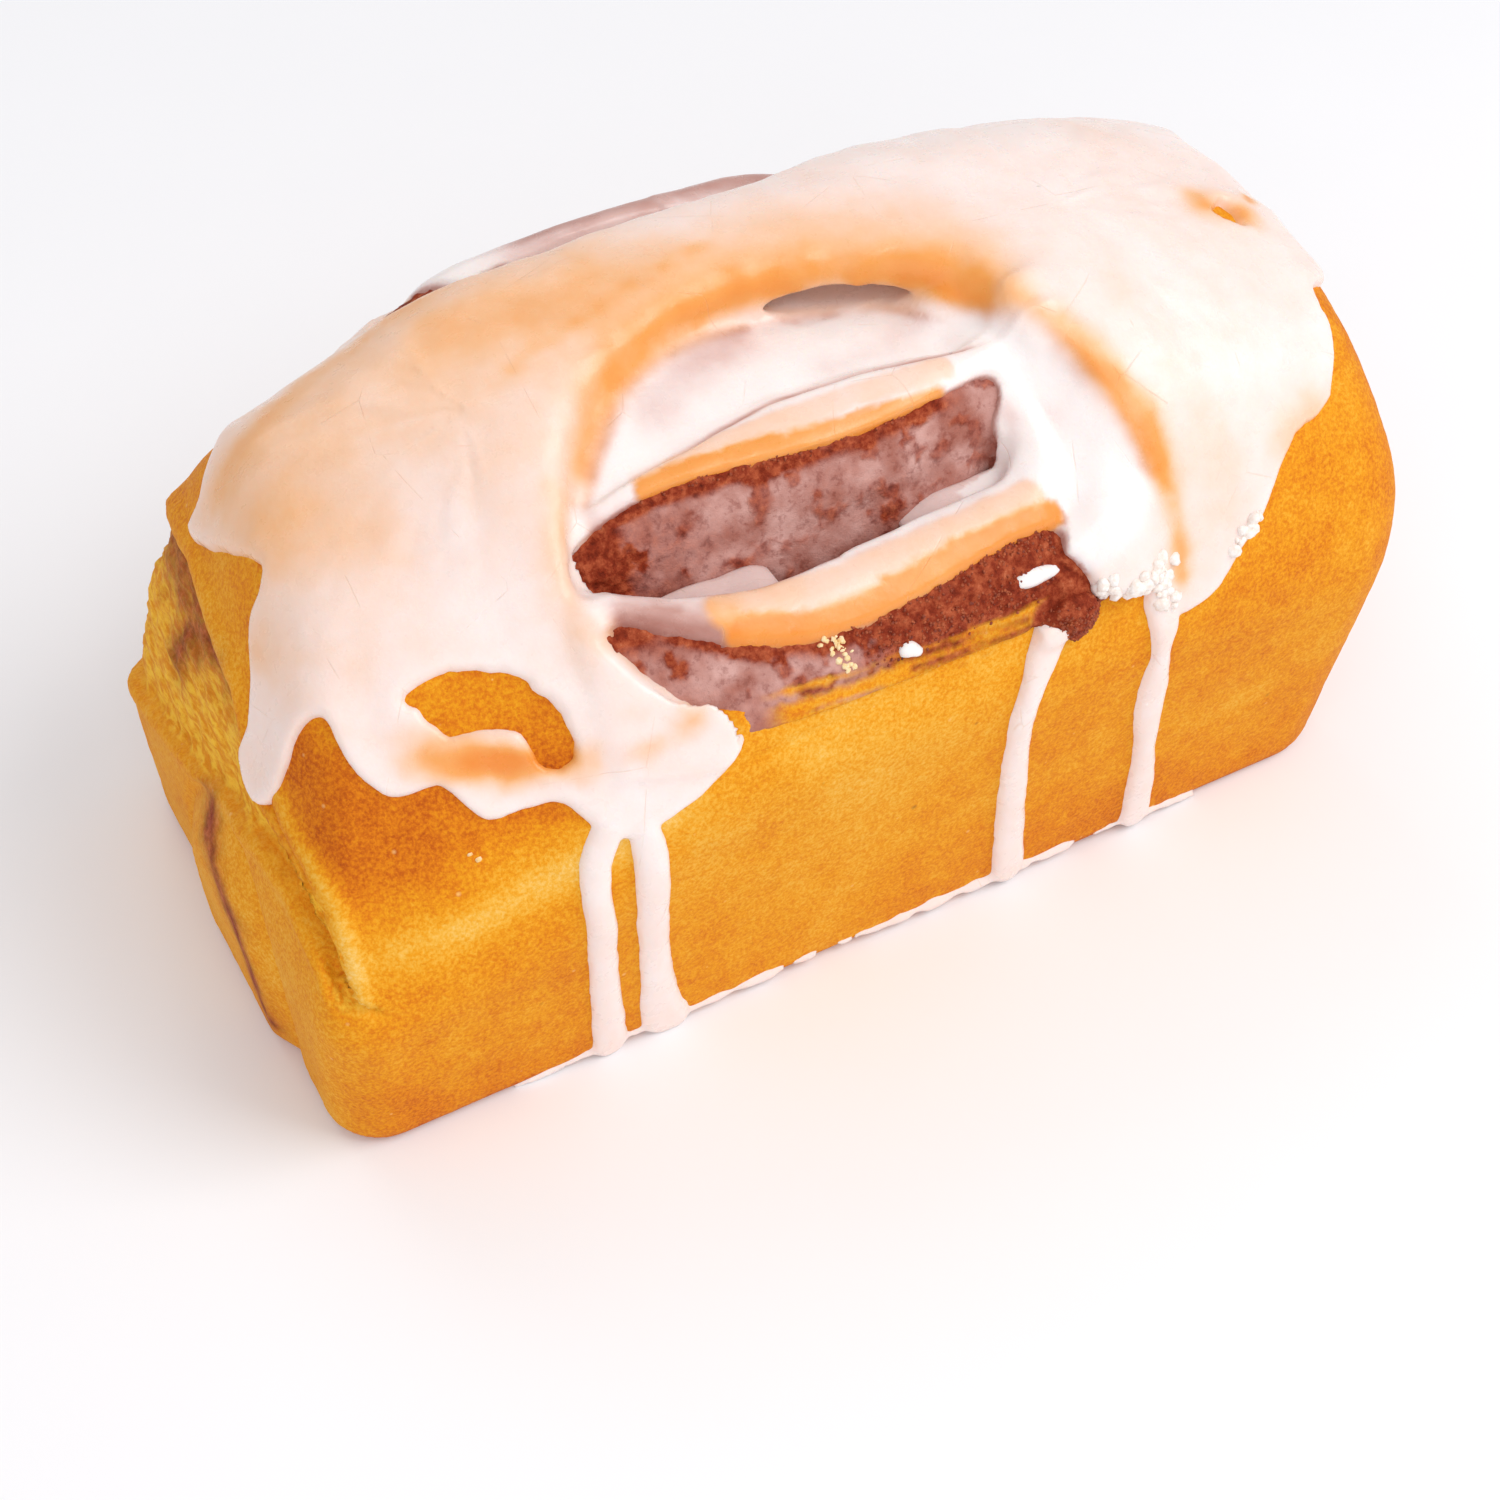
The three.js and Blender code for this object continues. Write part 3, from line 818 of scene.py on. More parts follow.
# Thin places in the glaze, where what lies below shows through.
VEILS: Sequence[Stroke] = (
    Stroke(((-41, -15, 99.5), (-35, -8, 105), (-27, -1, 108), (-15, 4, 109), (0, 6, 109), (15, 2, 109.5),
            (28, -4, 109), (36, -13, 106.5), (41, -22, 103), (45, -30, 99), (48, -37, 94), (50, -43, 87)),
           4.2, 0.62),
    Stroke(((-40, -16, 98), (-30, -5, 104.5), (-15, 1, 106.5), (0, 3.5, 107), (15, 0, 107), (28, -6, 106.5),
            (40, -20, 103), (46, -31, 98), (49, -40, 91), (50, -45, 85)), 2.6, 0.74),
    Stroke(((-45, 16, 108), (-30, 12, 110.5), (-10, 11, 111.5), (10, 10, 112), (25, 4, 111.5),
            (35, -6, 109.5)), 9.0, 0.34),
    Stroke(((-88, 12, 92), (-70, 14, 101), (-50, 14, 107), (-34, 10, 109.5)), 17.0, 0.30),
    Stroke(((-90, 17, 91), (-80, 22, 97), (-66, 28, 100), (-50, 31, 104), (-30, 34, 105), (-5, 35, 106)),
           4.0, 0.42),
    Stroke(((-46, 2, 108.5), (-40, 4, 109.5), (-24, 9, 110.5), (-6, 13, 111.5)), 1.6, 0.30),
    Stroke(((-48, -20, 100), (-52, -27, 95), (-53, -36, 87), (-49, -44, 78)), 3.2, 0.34),
    Stroke(((-82, -37, 76), (-76, -39, 73.5), (-69, -41, 71.5)), 3.6, 0.85),
    Stroke(((-72, -40, 73), (-64, -43, 71.5), (-57, -45, 71)), 3.2, 0.9),
    Stroke(((-50, -47, 71), (-44, -48.5, 73), (-41, -49, 76)), 2.6, 0.5),
    Stroke(((-96, -8, 80), (-90, -14, 81), (-84, -20, 82)), 4.0, 0.30),
    Stroke(((-84, 0, 94), (-78, -8, 94)), 8.0, 0.22),
    Stroke(((50, -48, 81), (51, -54, 69)), 2.6, 0.6),
    Stroke(((56, -20, 101), (62, -38, 88), (60, -48, 77)), 5.0, 0.16),
    Stroke(((86, -4, 102), (92, -6, 100)), 4.0, 0.7),
    Stroke(((98, -4, 98), (99, -3, 97.5)), 1.4, 0.9),
    Stroke(((80, -44, 80), (86, -42, 82)), 6.0, 0.42),
)
# The same on the rolls: dough along the crests, and cinnamon under the white of the inner roll.
CREST_VEILS: Sequence[Stroke] = (
    Stroke(((-34, -22.6, 99.4), (-25, -23, 100.2), (-14, -24, 100.2), (-2, -24.8, 100), (10, -25.2, 99.8),
            (17, -25.2, 99.6)), 2.5, 0.72),
    Stroke(((-29, -43.8, 84), (-20, -46, 82.4), (-9, -46.8, 82.6), (3, -46.2, 83.8), (15, -45, 84.8),
            (25, -44, 84.8), (29, -43.6, 84.4)), 2.9, 0.85),
    Stroke(((-30, -40, 86.4), (-9, -42.5, 86.4), (8, -42, 87), (26, -40.5, 87.2)), 3.4, 0.28),
    Stroke(((-34, -19.4, 100.6), (-14, -20, 101.6), (2, -20, 101.8), (20, -21, 101.6)), 2.6, 0.22),
)
INNER_VEILS: Sequence[Stroke] = (
    Stroke(((-26, -7, 99), (-16, -1, 101), (-6, 1, 101)), 5.5, 0.34),
    Stroke(((30, -6, 101), (16, -10, 101.5), (6, -11, 101)), 3.0, 0.18),
    Stroke(((28, -25, 97), (31, -31, 90), (33, -38, 83)), 2.0, 0.22),
    Stroke(((37, -26, 88), (37.5, -35, 81), (35, -43, 76)), 1.6, 0.34),
    Stroke(((46, -36, 85), (44, -44, 78), (41, -50, 74.5)), 1.5, 0.30),
    Stroke(((-46, -37.5, 88), (-40, -39.5, 87), (-33, -42, 84.5)), 4.0, 0.84),
    Stroke(((-44, -25, 94), (-38, -25, 97)), 2.4, 0.6),
    # This stroke thins the glaze to brown in the gap under the arch of crust: partly cinnamon showing
    # through, partly painted shade under the arch.
    Stroke(((-6, 11, 102), (10, 8, 101), (26, 3, 101)), 5.0, 0.97),
    Stroke(((-24, 43, 103), (-8, 42, 104), (10, 42, 103), (26, 43, 99)), 6.0, 0.66),
)
# Creases where the glaze runs into the rolls' corners: the coat sinks along them, and its colour is darkened
# along them as painted shade.
SHADED_CREASES: Sequence[Stroke] = (
    Stroke(((-45, -19.5, 98.5), (-37, -18.8, 98.9), (-27, -18, 100), (-14, -15.7, 100.2), (-2, -14.6, 100.8),
            (8, -15.2, 101.6), (18, -17.5, 101.8), (28, -19, 101.2), (31.5, -21, 99.5), (31.5, -25, 96),
            (29, -28, 91)), 0.75),
    Stroke(((-49, -30, 91.5), (-40, -33, 88.5), (-32, -35.5, 87), (-22, -37, 86), (-8, -37.6, 86)), 0.8, 0.8),
)
# Loose bits of glaze on the lower roll's face.
BLOBS: Sequence[Blob] = (
    Blob((22.5, -49.0, 78.0), (4.0, 1.8, 1.7)),
    Blob((26.0, -48.5, 77.2), (2.6, 1.6, 1.5)),
    Blob((-2.6, -51.4, 75.2), (1.9, 1.6, 1.5)),
    Blob((-1.0, -51.8, 74.4), (1.2, 1.2, 1.0)),
    Blob((-13.0, -48.6, 77.6), (3.2, 1.1, 1.2)),
)


@dataclass(frozen=True)
class Pour:
    """How the glaze stands on the crust, in millimetres.

    Attributes:
        sheet: Thickness of the sheet, and width of its rounded edge.
        run: The same for a run.
        foot: The same for the line at the foot of the front wall.
        foot_height: Height of that line.
        foot_span: Where that line starts and ends around the loaf.
        around: Where the chart starts and ends around the loaf.
        top: Where the chart ends at the crown.
        pitch: Size of the chart's cells.
    """

    sheet: tuple[float, float] = (0.95, 2.3)
    run: tuple[float, float] = (1.75, 2.9)
    foot: tuple[float, float] = (0.9, 0.9)
    foot_height: float = 6.6
    foot_span: tuple[float, float] = (-76.0, 71.0)
    around: tuple[float, float] = (-280.0, 280.0)
    top: float = 134.0
    pitch: float = 0.5


@dataclass(frozen=True)
class GlazeMap:
    """How thick the glaze lies at each place on the loaf, and how much it hides what is below.

    Attributes:
        chart: The skin's flat coordinates.
        loaf: The bread that the glaze lies on.
        thickness: The glaze's thickness over the chart.
        edge: Distance in from the glaze's outline over the chart.
    """

    chart: Chart
    loaf: Loaf
    thickness: Raster
    edge: Raster

    @classmethod
    def build(cls, chart: Chart, loaf: Loaf, pour: Pour = Pour()) -> "GlazeMap":
        """Draws the glaze's thickness over the chart.

        Args:
            chart: The skin's flat coordinates.
            loaf: The bread that the glaze lies on.
            pour: How the glaze stands.

        Returns:
            The finished map.
        """
        (start, end), pitch = pour.around, pour.pitch
        columns, rows = np.arange(start, end + pitch, pitch), np.arange(0.0, pour.top, pitch)
        around, height = np.meshgrid(columns, rows, indexing="ij")
        place = np.stack([around.ravel(), height.ravel(), np.zeros(around.size)], axis=1)
        ripple = Noise(11, 3.2, 3)(place).reshape(around.shape)
        lumps = Noise(12, 9.0, 2)(place).reshape(around.shape)
        lower = spline((*SHEET_REAR_LEFT, *SHEET_FRONT, *SHEET_REST), 4, closed=False)
        sheet_outline = np.vstack([lower, [[300.0, 79.0], [300.0, 300.0], [-300.0, 300.0], [-300.0, 79.0]]])
        sheet = inside_distance(sheet_outline, around, height) + 0.35 * ripple
        for patch in BARE_PATCHES:
            hole = inside_distance(spline(patch, 4, closed=True), around, height) + 0.9 * ripple
            sheet = np.minimum(sheet, -hole)
        bead = 0.55 * bell(np.maximum(sheet, 0.0), 4.5)
        sheet_depth = cls.lip(sheet, pour.sheet[1]) * (pour.sheet[0] + 0.3 * lumps + bead)
        runs = np.full(around.shape, -1e9)
        for run in RUNS:
            runs = np.maximum(runs, run.distance(around, height))
        runs = runs + 0.3 * ripple
        run_depth = cls.lip(runs, pour.run[1]) * (pour.run[0] + 0.35 * lumps)
        foot = 0.85 - np.abs(height - pour.foot_height + 0.3 * lumps) + 0.7 * ripple
        at_foot = (around > pour.foot_span[0]) & (around < pour.foot_span[1])
        foot = np.where(at_foot, foot - 0.9 * ramp(0.1, 0.5, -lumps), -9.0)
        foot_depth = cls.lip(foot, pour.foot[1]) * pour.foot[0]
        depth = smooth_max(smooth_max(sheet_depth, run_depth, 0.8), foot_depth, 0.3)
        edge = np.maximum(np.maximum(sheet, runs), foot)
        thickness, rim = (Raster(values.astype(np.float32), (start, 0.0), pitch) for values in (depth, edge))
        return cls(chart, loaf, thickness, rim)

    @staticmethod
    def lip(inside: Array, width: float) -> Array:
        """Rounded edge profile.

        Args:
            inside: Distance in from the outline, negative outside it.
            width: Distance over which the edge rises.

        Returns:
            0 at the outline, 1 a width inside it, and less than 0 outside it, where the glaze dives.
        """
        rising = np.sqrt(1.0 - (1.0 - np.clip(inside / width, 0.0, 1.0)) ** 2)
        return np.where(inside > 0.0, rising, np.maximum(1.6 * inside, -2.0))

    def depth(self, x: Array, y: Array, z: Array) -> Array:
        """Thickness of the glaze, negative where there is none.

        Args:
            x: Along the loaf.
            y: Across the loaf.
            z: Heights.

        Returns:
            The thickness in millimetres.
        """
        around, height = self.chart(x, y, z)
        depth = self.thickness(around, height)
        gap = bell(y + 34.0, 3.0) * ramp(-46.0, -40.0, x) * (1.0 - ramp(14.0, 20.0, x))
        gap = gap * (1.0 - ramp(84.6, 86.0, z))
        depth = depth - 3.2 * gap * ramp(76.0, 79.0, z)
        left_of_rear = 1.0 - ramp(-43.0, -37.0, x + 0.7 * (y - 38.0))
        bare_rear = ramp(-62.0, -58.0, x) * left_of_rear * ramp(33.0, 36.0, y)
        depth = depth - 3.5 * bare_rear * (self.loaf.rear_cavity(x, y, z) < 1.0)
        for roll in (self.loaf.upper, self.loaf.lower, self.loaf.rear):
            bare = roll.bare(x, y, z)
            depth = depth * (1.0 - bare) - 2.4 * bare
        return depth

    def inside(self, points: Array) -> Array:
        """Where points lie in an opening, from 0 to 1."""
        front = 1.0 - ramp(-4.0, 0.0, self.loaf.mouth(*points.T)[0])
        return np.maximum(front, 1.0 - ramp(-2.5, 0.0, self.loaf.rear_cavity(*points.T)))

    def pool(self, x: Array, y: Array, z: Array) -> Array:
        """Solid of the glaze that gathered between the upper and the lower roll.

        Args:
            x: Along the loaf.
            y: Across the loaf.
            z: Heights.

        Returns:
            The solid's field.
        """
        half_long, half_wide, half_thick = 36.0, 4.4, 1.3
        level = 83.6 + 1.8 * ramp(4.0, 22.0, x) + 2.6 * (1.0 - ramp(-47.0, -37.0, x))
        ripple = 0.25 * np.sin(x * 0.55)
        slab = np.abs(z - level + half_thick - ripple) - half_thick
        sides = np.maximum(np.abs(y + 34.2) - half_wide, np.abs(x + 9.0) - half_long)
        dry = 3.0 - np.abs(x + 5.0) * 0.26
        return smooth_max(smooth_max(slab, sides, 1.2), dry, 2.0)

    def cover(self, points: Array) -> Array:
        """How opaque the glaze is at points on it, from 0, clear, to 1, white.

        Args:
            points: Points on the glaze.

        Returns:
            The cover at each point.
        """
        x, y, z = points.T
        inside = self.inside(points)
        cover = 0.90 - 0.12 * (1.0 - inside) * (1.0 - ramp(-30.0, 20.0, x)) * ramp(-40.0, 0.0, y)
        wander = points + 1.6 * drift(points, 9.0, 2, (24, 25, 26))
        wander = wander + 1.1 * drift(points, 3.4, 2, (43, 44, 45))
        for stroke in VEILS:
            cover = cover * (1.0 - stroke(wander) * (1.0 - 0.9 * inside))
        fine_wander = points + 1.1 * drift(points, 3.2, 3, (27, 28, 29))
        for stroke in CREST_VEILS:
            cover = cover * (1.0 - stroke.strength * stroke.band(fine_wander) * inside)
        for stroke in INNER_VEILS:
            cover = cover * (1.0 - stroke(fine_wander) * inside)
        # Painted shade: the glaze turns darker and browner along the creases.
        for stroke in SHADED_CREASES:
            cover = cover * (1.0 - 0.6 * stroke(points))
        meeting = self.loaf.crust(x, y, z) - self.loaf.inner.field(x, y, z)
        contact = bell(meeting, 1.0) * inside * ramp(88.0, 93.0, z)
        contact = contact * (1.0 - ramp(22.0, 30.0, x)) * ramp(-0.3, 0.3, Noise(47, 6.0, 3)(points))
        cover = cover * (1.0 - 0.6 * contact)
        streaks = Noise(21, 13.0, 3, (1.0, 1.8, 1.0))(points)
        fine = Noise(22, 3.5, 3)(points)
        around, height = self.chart(x, y, z)
        rim = bell(np.maximum(self.edge(around, height), 0.0), 2.2)
        on_wall = 1.0 - ramp(52.0, 60.0, height)
        cover = cover + 0.10 * streaks + 0.04 * fine + 0.12 * rim * (1.0 - rim)
        thin = inside * (1.0 - ramp(0.0, 0.9, self.depth(x, y, z)))
        cover = np.maximum(cover, 0.9 * on_wall) * (1.0 - 0.65 * thin)
        pooled = 0.62 * (self.pool(x, y, z) < 0.5)
        chips = 0.95 * (np.min([blob.field(x, y, z) for blob in BLOBS], axis=0) < 0.8)
        return np.clip(np.maximum(np.maximum(cover, pooled), chips), 0.0, 1.0)


# ---- meshes


@dataclass(frozen=True)
class Block:
    """A box of space that a field is meshed in.

    Attributes:
        low: Its lowest corner.
        high: Its highest corner.
        pitch: Size of the mesh's cells.
    """

    low: tuple[float, float, float]
    high: tuple[float, float, float]
    pitch: float

    def axes(self) -> tuple[Array, Array, Array]:
        """Places along X, Y and Z, shaped so that they spread over the box together."""
        x, y, z = (np.arange(a, b, self.pitch, dtype=np.float32) for a, b in zip(self.low, self.high))
        return x[:, None, None], y[None, :, None], z[None, None, :]

    def mesh(self, field: Callable[[Array, Array, Array], Array]) -> tuple[Array, Array]:
        """Meshes a field's zero level inside the box.

        Args:
            field: The field, negative inside the solid.

        Returns:
            Points in millimetres and quads that face outwards.
        """
        x, y, z = self.axes()
        shape = (x.size, y.size, z.size)
        values = np.broadcast_to(field(x, y, z), shape).astype(np.float32)
        limit = 3.0 * self.pitch
        values = np.clip(values, -limit, limit)
        for axis in range(3):
            side = np.moveaxis(values, axis, 0)
            side[0] = side[-1] = limit
        grid = openvdb.FloatGrid(background=limit)
        grid.copyFromArray(values)
        points, _, quads = grid.convertToPolygons(isovalue=0.0, adaptivity=0.0)
        points = points.astype(float) * self.pitch + np.array(self.low)
        quads = quads.astype(np.int64)
        a, b, c = (points[quads[:, i]] for i in range(3))
        volume = np.einsum("ij,ij->i", a, np.cross(b, c)).sum()
        return points, quads if volume > 0 else quads[:, ::-1]


def gradient(field: Callable[[Array, Array, Array], Array], points: Array) -> Array:
    """Unit outward normals of a field at points.

    Args:
        field: The field, negative inside the solid.
        points: Points near its zero level.

    Returns:
        A unit vector for each point.
    """
    step = 0.25
    parts = []
    for axis in range(3):
        shift = np.zeros(3)
        shift[axis] = step
        parts.append(field(*(points + shift).T) - field(*(points - shift).T))
    normal = np.stack(parts, axis=1)
    return normal / np.maximum(np.linalg.norm(normal, axis=1, keepdims=True), 1e-9)


def add_object(name: str, points: Array, faces: Array) -> bpy.types.Object:
    """Makes a smooth-shaded mesh object.

    Args:
        name: Name of the object and its mesh.
        points: Points in millimetres.
        faces: Quads or triangles as an (n, 4) or (n, 3) array.

    Returns:
        The object, linked to the scene.
    """
    corners = faces.shape[1]
    mesh = bpy.data.meshes.new(name)
    mesh.vertices.add(len(points))
    mesh.vertices.foreach_set("co", (points * MM).astype(np.float32).ravel())
    mesh.loops.add(len(faces) * corners)
    mesh.loops.foreach_set("vertex_index", faces.astype(np.int32).ravel())
    mesh.polygons.add(len(faces))
    mesh.polygons.foreach_set("loop_start", np.arange(0, len(faces) * corners, corners, dtype=np.int32))
    mesh.update(calc_edges=True)
    mesh.validate()
    mesh.polygons.foreach_set("use_smooth", np.ones(len(mesh.polygons), bool))
    piece = bpy.data.objects.new(name, mesh)
    bpy.context.scene.collection.objects.link(piece)
    return piece


def dress(piece: bpy.types.Object, material: bpy.types.Material) -> None:
    """Gives a mesh object one material."""
    piece.data.materials.clear()
    piece.data.materials.append(material)


def points_of(piece: bpy.types.Object) -> Array:
    """A mesh object's points in millimetres."""
    flat = np.empty(len(piece.data.vertices) * 3, np.float32)
    piece.data.vertices.foreach_get("co", flat)
    return flat.reshape(-1, 3).astype(float) / MM


def set_attribute(piece: bpy.types.Object, name: str, values: Array) -> None:
    """Stores one number at each point of a mesh."""
    attribute = piece.data.attributes.new(name, "FLOAT", "POINT")
    attribute.data.foreach_set("value", np.ascontiguousarray(values, np.float32))


def drop_shards(points: Array, faces: Array, fewest: int = 60) -> tuple[Array, Array]:
    """Removes the smallest joined parts of a mesh.

    Args:
        points: The mesh's points.
        faces: The mesh's faces.
        fewest: A part stays if it has more faces than this.

    Returns:
        The kept points and the faces over them.
    """
    label = np.arange(len(points))
    while True:
        lowest = label[faces].min(axis=1)
        new = label.copy()
        for column in range(faces.shape[1]):
            np.minimum.at(new, faces[:, column], lowest)
        new = new[new]
        if np.array_equal(new, label):
            break
        label = new
    count = np.bincount(label[faces[:, 0]], minlength=len(points))
    keep = count[label[faces[:, 0]]] > fewest
    faces = faces[keep]
    used = np.unique(faces)
    index = np.zeros(len(points), np.int64)
    index[used] = np.arange(len(used))
    return points[used], index[faces]


def thin_out(piece: bpy.types.Object, weight: Array, limit: int, levels: int = 10) -> None:
    """Collapses a mesh's less seen parts until it has few enough triangles.

    Args:
        piece: The mesh object.
        weight: How freely each point may be collapsed, from 0, not at all, to 1.
        limit: Triangles to come down to.
        levels: Steps that the weight is rounded to.
    """
    triangles = 2 * len(piece.data.polygons)
    if triangles <= limit:
        return
    group = piece.vertex_groups.new(name="thin")
    for level in range(1, levels + 1):
        chosen = np.nonzero(np.round(weight * levels) == level)[0]
        group.add(chosen.tolist(), level / levels, "REPLACE")
    modifier = piece.modifiers.new("thin", "DECIMATE")
    modifier.ratio = limit / triangles
    modifier.vertex_group = group.name
    modifier.vertex_group_factor = 1.0e-5  # More would drown the shape's own cost, as the mesh is in metres.
    apply_modifiers(piece)
    piece.vertex_groups.clear()


def apply_modifiers(piece: bpy.types.Object) -> None:
    """Turns what a piece's modifiers make into its plain mesh."""
    evaluated = piece.evaluated_get(bpy.context.evaluated_depsgraph_get())
    mesh = bpy.data.meshes.new_from_object(evaluated)
    piece.modifiers.clear()
    piece.data = mesh
    mesh.name = piece.name


# ---- shader building blocks

Socket = bpy.types.NodeSocket
Colour = tuple[float, float, float]
Inputs = dict[str | int, object]


def socket_of(sockets: Sequence[Socket], identifier: str) -> Socket:
    """The socket with an identifier, where several share a name."""
    return next(socket for socket in sockets if socket.identifier == identifier)


@dataclass
class Shader:
    """Adds nodes to one shader tree and joins them.

    Attributes:
        tree: The material's or group's node tree.
    """

    tree: bpy.types.NodeTree

    def feed(self, socket: Socket, value: object) -> None:
        """Joins an input to another socket, or sets its value."""
        if isinstance(value, bpy.types.NodeSocket):
            self.tree.links.new(value, socket)
        else:
            socket.default_value = value

    def add(self, kind: str, inputs: Inputs | None = None, **settings: object) -> bpy.types.Node:
        """Adds a node.

        Args:
            kind: The node's type name.
            inputs: Values or sockets for its inputs, by name or number.
            **settings: Its own properties.

        Returns:
            The node.
        """
        node = self.tree.nodes.new(kind)
        for name, value in settings.items():
            setattr(node, name, value)
        for key, value in (inputs or {}).items():
            self.feed(node.inputs[key], value)
        return node

    def math(self, operation: str, a: object, b: object = 0.0, clamp: bool = False) -> Socket:
        """A sum, product or other step on two numbers."""
        return self.add("ShaderNodeMath", {0: a, 1: b}, operation=operation, use_clamp=clamp).outputs[0]

    def mix(self, factor: object, a: object, b: object) -> Socket:
        """A colour between two colours."""
        colours = [(*c, 1.0) if isinstance(c, tuple) and len(c) == 3 else c for c in (a, b)]
        node = self.add("ShaderNodeMix", data_type="RGBA")
        for name, value in (("Factor_Float", factor), ("A_Color", colours[0]), ("B_Color", colours[1])):
            self.feed(socket_of(node.inputs, name), value)
        return socket_of(node.outputs, "Result_Color")

    def sway(self, value: object, noise: Socket, amount: float, clamp: bool = False) -> Socket:
        """A number moved up and down by a noise that lies around a half."""
        shift = self.math("MULTIPLY", self.math("SUBTRACT", noise, 0.5), amount)
        return self.math("ADD", value, shift, clamp)

    def span(
        self, value: object, low: float, high: float, to_low: float = 0.0, to_high: float = 1.0
    ) -> Socket:
        """A number carried smoothly from one range to another and kept inside it."""
        inputs = {"Value": value, "From Min": low, "From Max": high, "To Min": to_low, "To Max": to_high}
        return self.add("ShaderNodeMapRange", inputs, interpolation_type="SMOOTHSTEP").outputs[0]

    def ramp(self, value: object, stops: Sequence[tuple[float, Colour]]) -> Socket:
        """A colour picked along a row of stops."""
        node = self.add("ShaderNodeValToRGB", {"Fac": value})
        elements = node.color_ramp.elements
        while len(elements) < len(stops):
            elements.new(0.5)
        for element, (place, colour) in zip(elements, stops):
            element.position = place
            element.color = (*colour, 1.0)
        return node.outputs[0]

    def attribute(self, name: str) -> Socket:
        """A number stored at the mesh's points."""
        return self.add("ShaderNodeAttribute", attribute_name=name).outputs["Fac"]

    def noise(self, where: Socket, scale: object, detail: float = 3.0, roughness: object = 0.55) -> Socket:
        """Fractal noise, from 0 to 1."""
        inputs = {"Vector": where, "Scale": scale, "Detail": detail, "Roughness": roughness}
        return self.add("ShaderNodeTexNoise", inputs).outputs["Fac"]

    def group(self, tree: bpy.types.NodeTree, inputs: Inputs) -> bpy.types.Node:
        """Places a shared effect in this tree."""
        return self.add("ShaderNodeGroup", inputs, node_tree=tree)

    def millimetres(self, stretch: tuple[float, float, float] = (1.0, 1.0, 1.0)) -> Socket:
        """Object coordinates in millimetres, drawn out by a stretch."""
        where = self.add("ShaderNodeTexCoord").outputs["Object"]
        scale = tuple(1.0 / (MM * s) for s in stretch)
        return self.add("ShaderNodeMapping", {"Vector": where, "Scale": scale}).outputs[0]


def new_group(
    name: str, inputs: Sequence[tuple[str, str, float]], outputs: Sequence[str]
) -> bpy.types.NodeTree:
    """Starts a shared shader effect.

    Args:
        name: The group's name.
        inputs: Each input's name, socket type and default.
        outputs: Names of the numbers it puts out.

    Returns:
        The group with its input and output nodes.
    """
    tree = bpy.data.node_groups.new(name, "ShaderNodeTree")
    for label, kind, default in inputs:
        socket = tree.interface.new_socket(label, in_out="INPUT", socket_type=kind)
        if kind == "NodeSocketFloat":
            socket.default_value = default
    for label in outputs:
        tree.interface.new_socket(label, in_out="OUTPUT", socket_type="NodeSocketFloat")
    tree.nodes.new("NodeGroupInput")
    tree.nodes.new("NodeGroupOutput")
    return tree


def speckle_group() -> bpy.types.NodeTree:
    """Scattered soft dots, each in its own cell, of which only a share shows."""
    inputs = (("Vector", "NodeSocketVector", 0.0), ("Scale", "NodeSocketFloat", 1.0),
              ("Radius", "NodeSocketFloat", 0.2), ("Share", "NodeSocketFloat", 0.3))
    tree = new_group("speckle", inputs, ("Mask",))
    shader = Shader(tree)
    given = tree.nodes["Group Input"].outputs
    cells = shader.add("ShaderNodeTexVoronoi", {"Vector": given["Vector"], "Scale": given["Scale"]})
    tone = shader.add("ShaderNodeSeparateColor", {"Color": cells.outputs["Color"]}).outputs
    size = shader.math("MULTIPLY", given["Radius"], shader.math("ADD", tone["Green"], 0.4))
    dot = shader.math("SUBTRACT", 1.0, shader.math("DIVIDE", cells.outputs["Distance"], size), clamp=True)
    chosen = shader.math("LESS_THAN", tone["Red"], given["Share"])
    tree.links.new(shader.math("MULTIPLY", dot, chosen), tree.nodes["Group Output"].inputs["Mask"])
    return tree


def grain_group() -> bpy.types.NodeTree:
    """Fine surface texture at two scales, for bump and for slight changes of tone."""
    inputs = (("Vector", "NodeSocketVector", 0.0), ("Scale", "NodeSocketFloat", 1.0),
              ("Sharpness", "NodeSocketFloat", 0.5))
    tree = new_group("grain", inputs, ("Height", "Tone"))
    shader = Shader(tree)
    given = tree.nodes["Group Input"].outputs
    coarse = shader.noise(given["Vector"], given["Scale"], 4.0, given["Sharpness"])
    finer = shader.math("MULTIPLY", given["Scale"], 3.1)
    fine = shader.noise(given["Vector"], finer, 2.0, 0.5)
    height = shader.math("ADD", shader.math("MULTIPLY", coarse, 0.7), shader.math("MULTIPLY", fine, 0.3))
    out = tree.nodes["Group Output"].inputs
    tree.links.new(height, out["Height"])
    tree.links.new(shader.span(coarse, 0.3, 0.7), out["Tone"])
    return tree


@dataclass(frozen=True)
class Effects:
    """The shared shader effects."""

    speckle: bpy.types.NodeTree
    grain: bpy.types.NodeTree

    @classmethod
    def build(cls) -> "Effects":
        """Makes each effect once."""
        return cls(speckle_group(), grain_group())

    def dots(self, shader: Shader, where: Socket, scale: float, radius: float, share: float) -> Socket:
        """Scattered soft dots, as a mask.

        Args:
            shader: The material's shader builder.
            where: Places in millimetres.
            scale: Cells to a millimetre.
            radius: Size of a dot in millimetres of the scaled pattern.
            share: Share of cells that have a dot.

        Returns:
            The mask.
        """
        inputs = {"Vector": where, "Scale": scale, "Radius": radius, "Share": share}
        return shader.group(self.speckle, inputs).outputs[0]


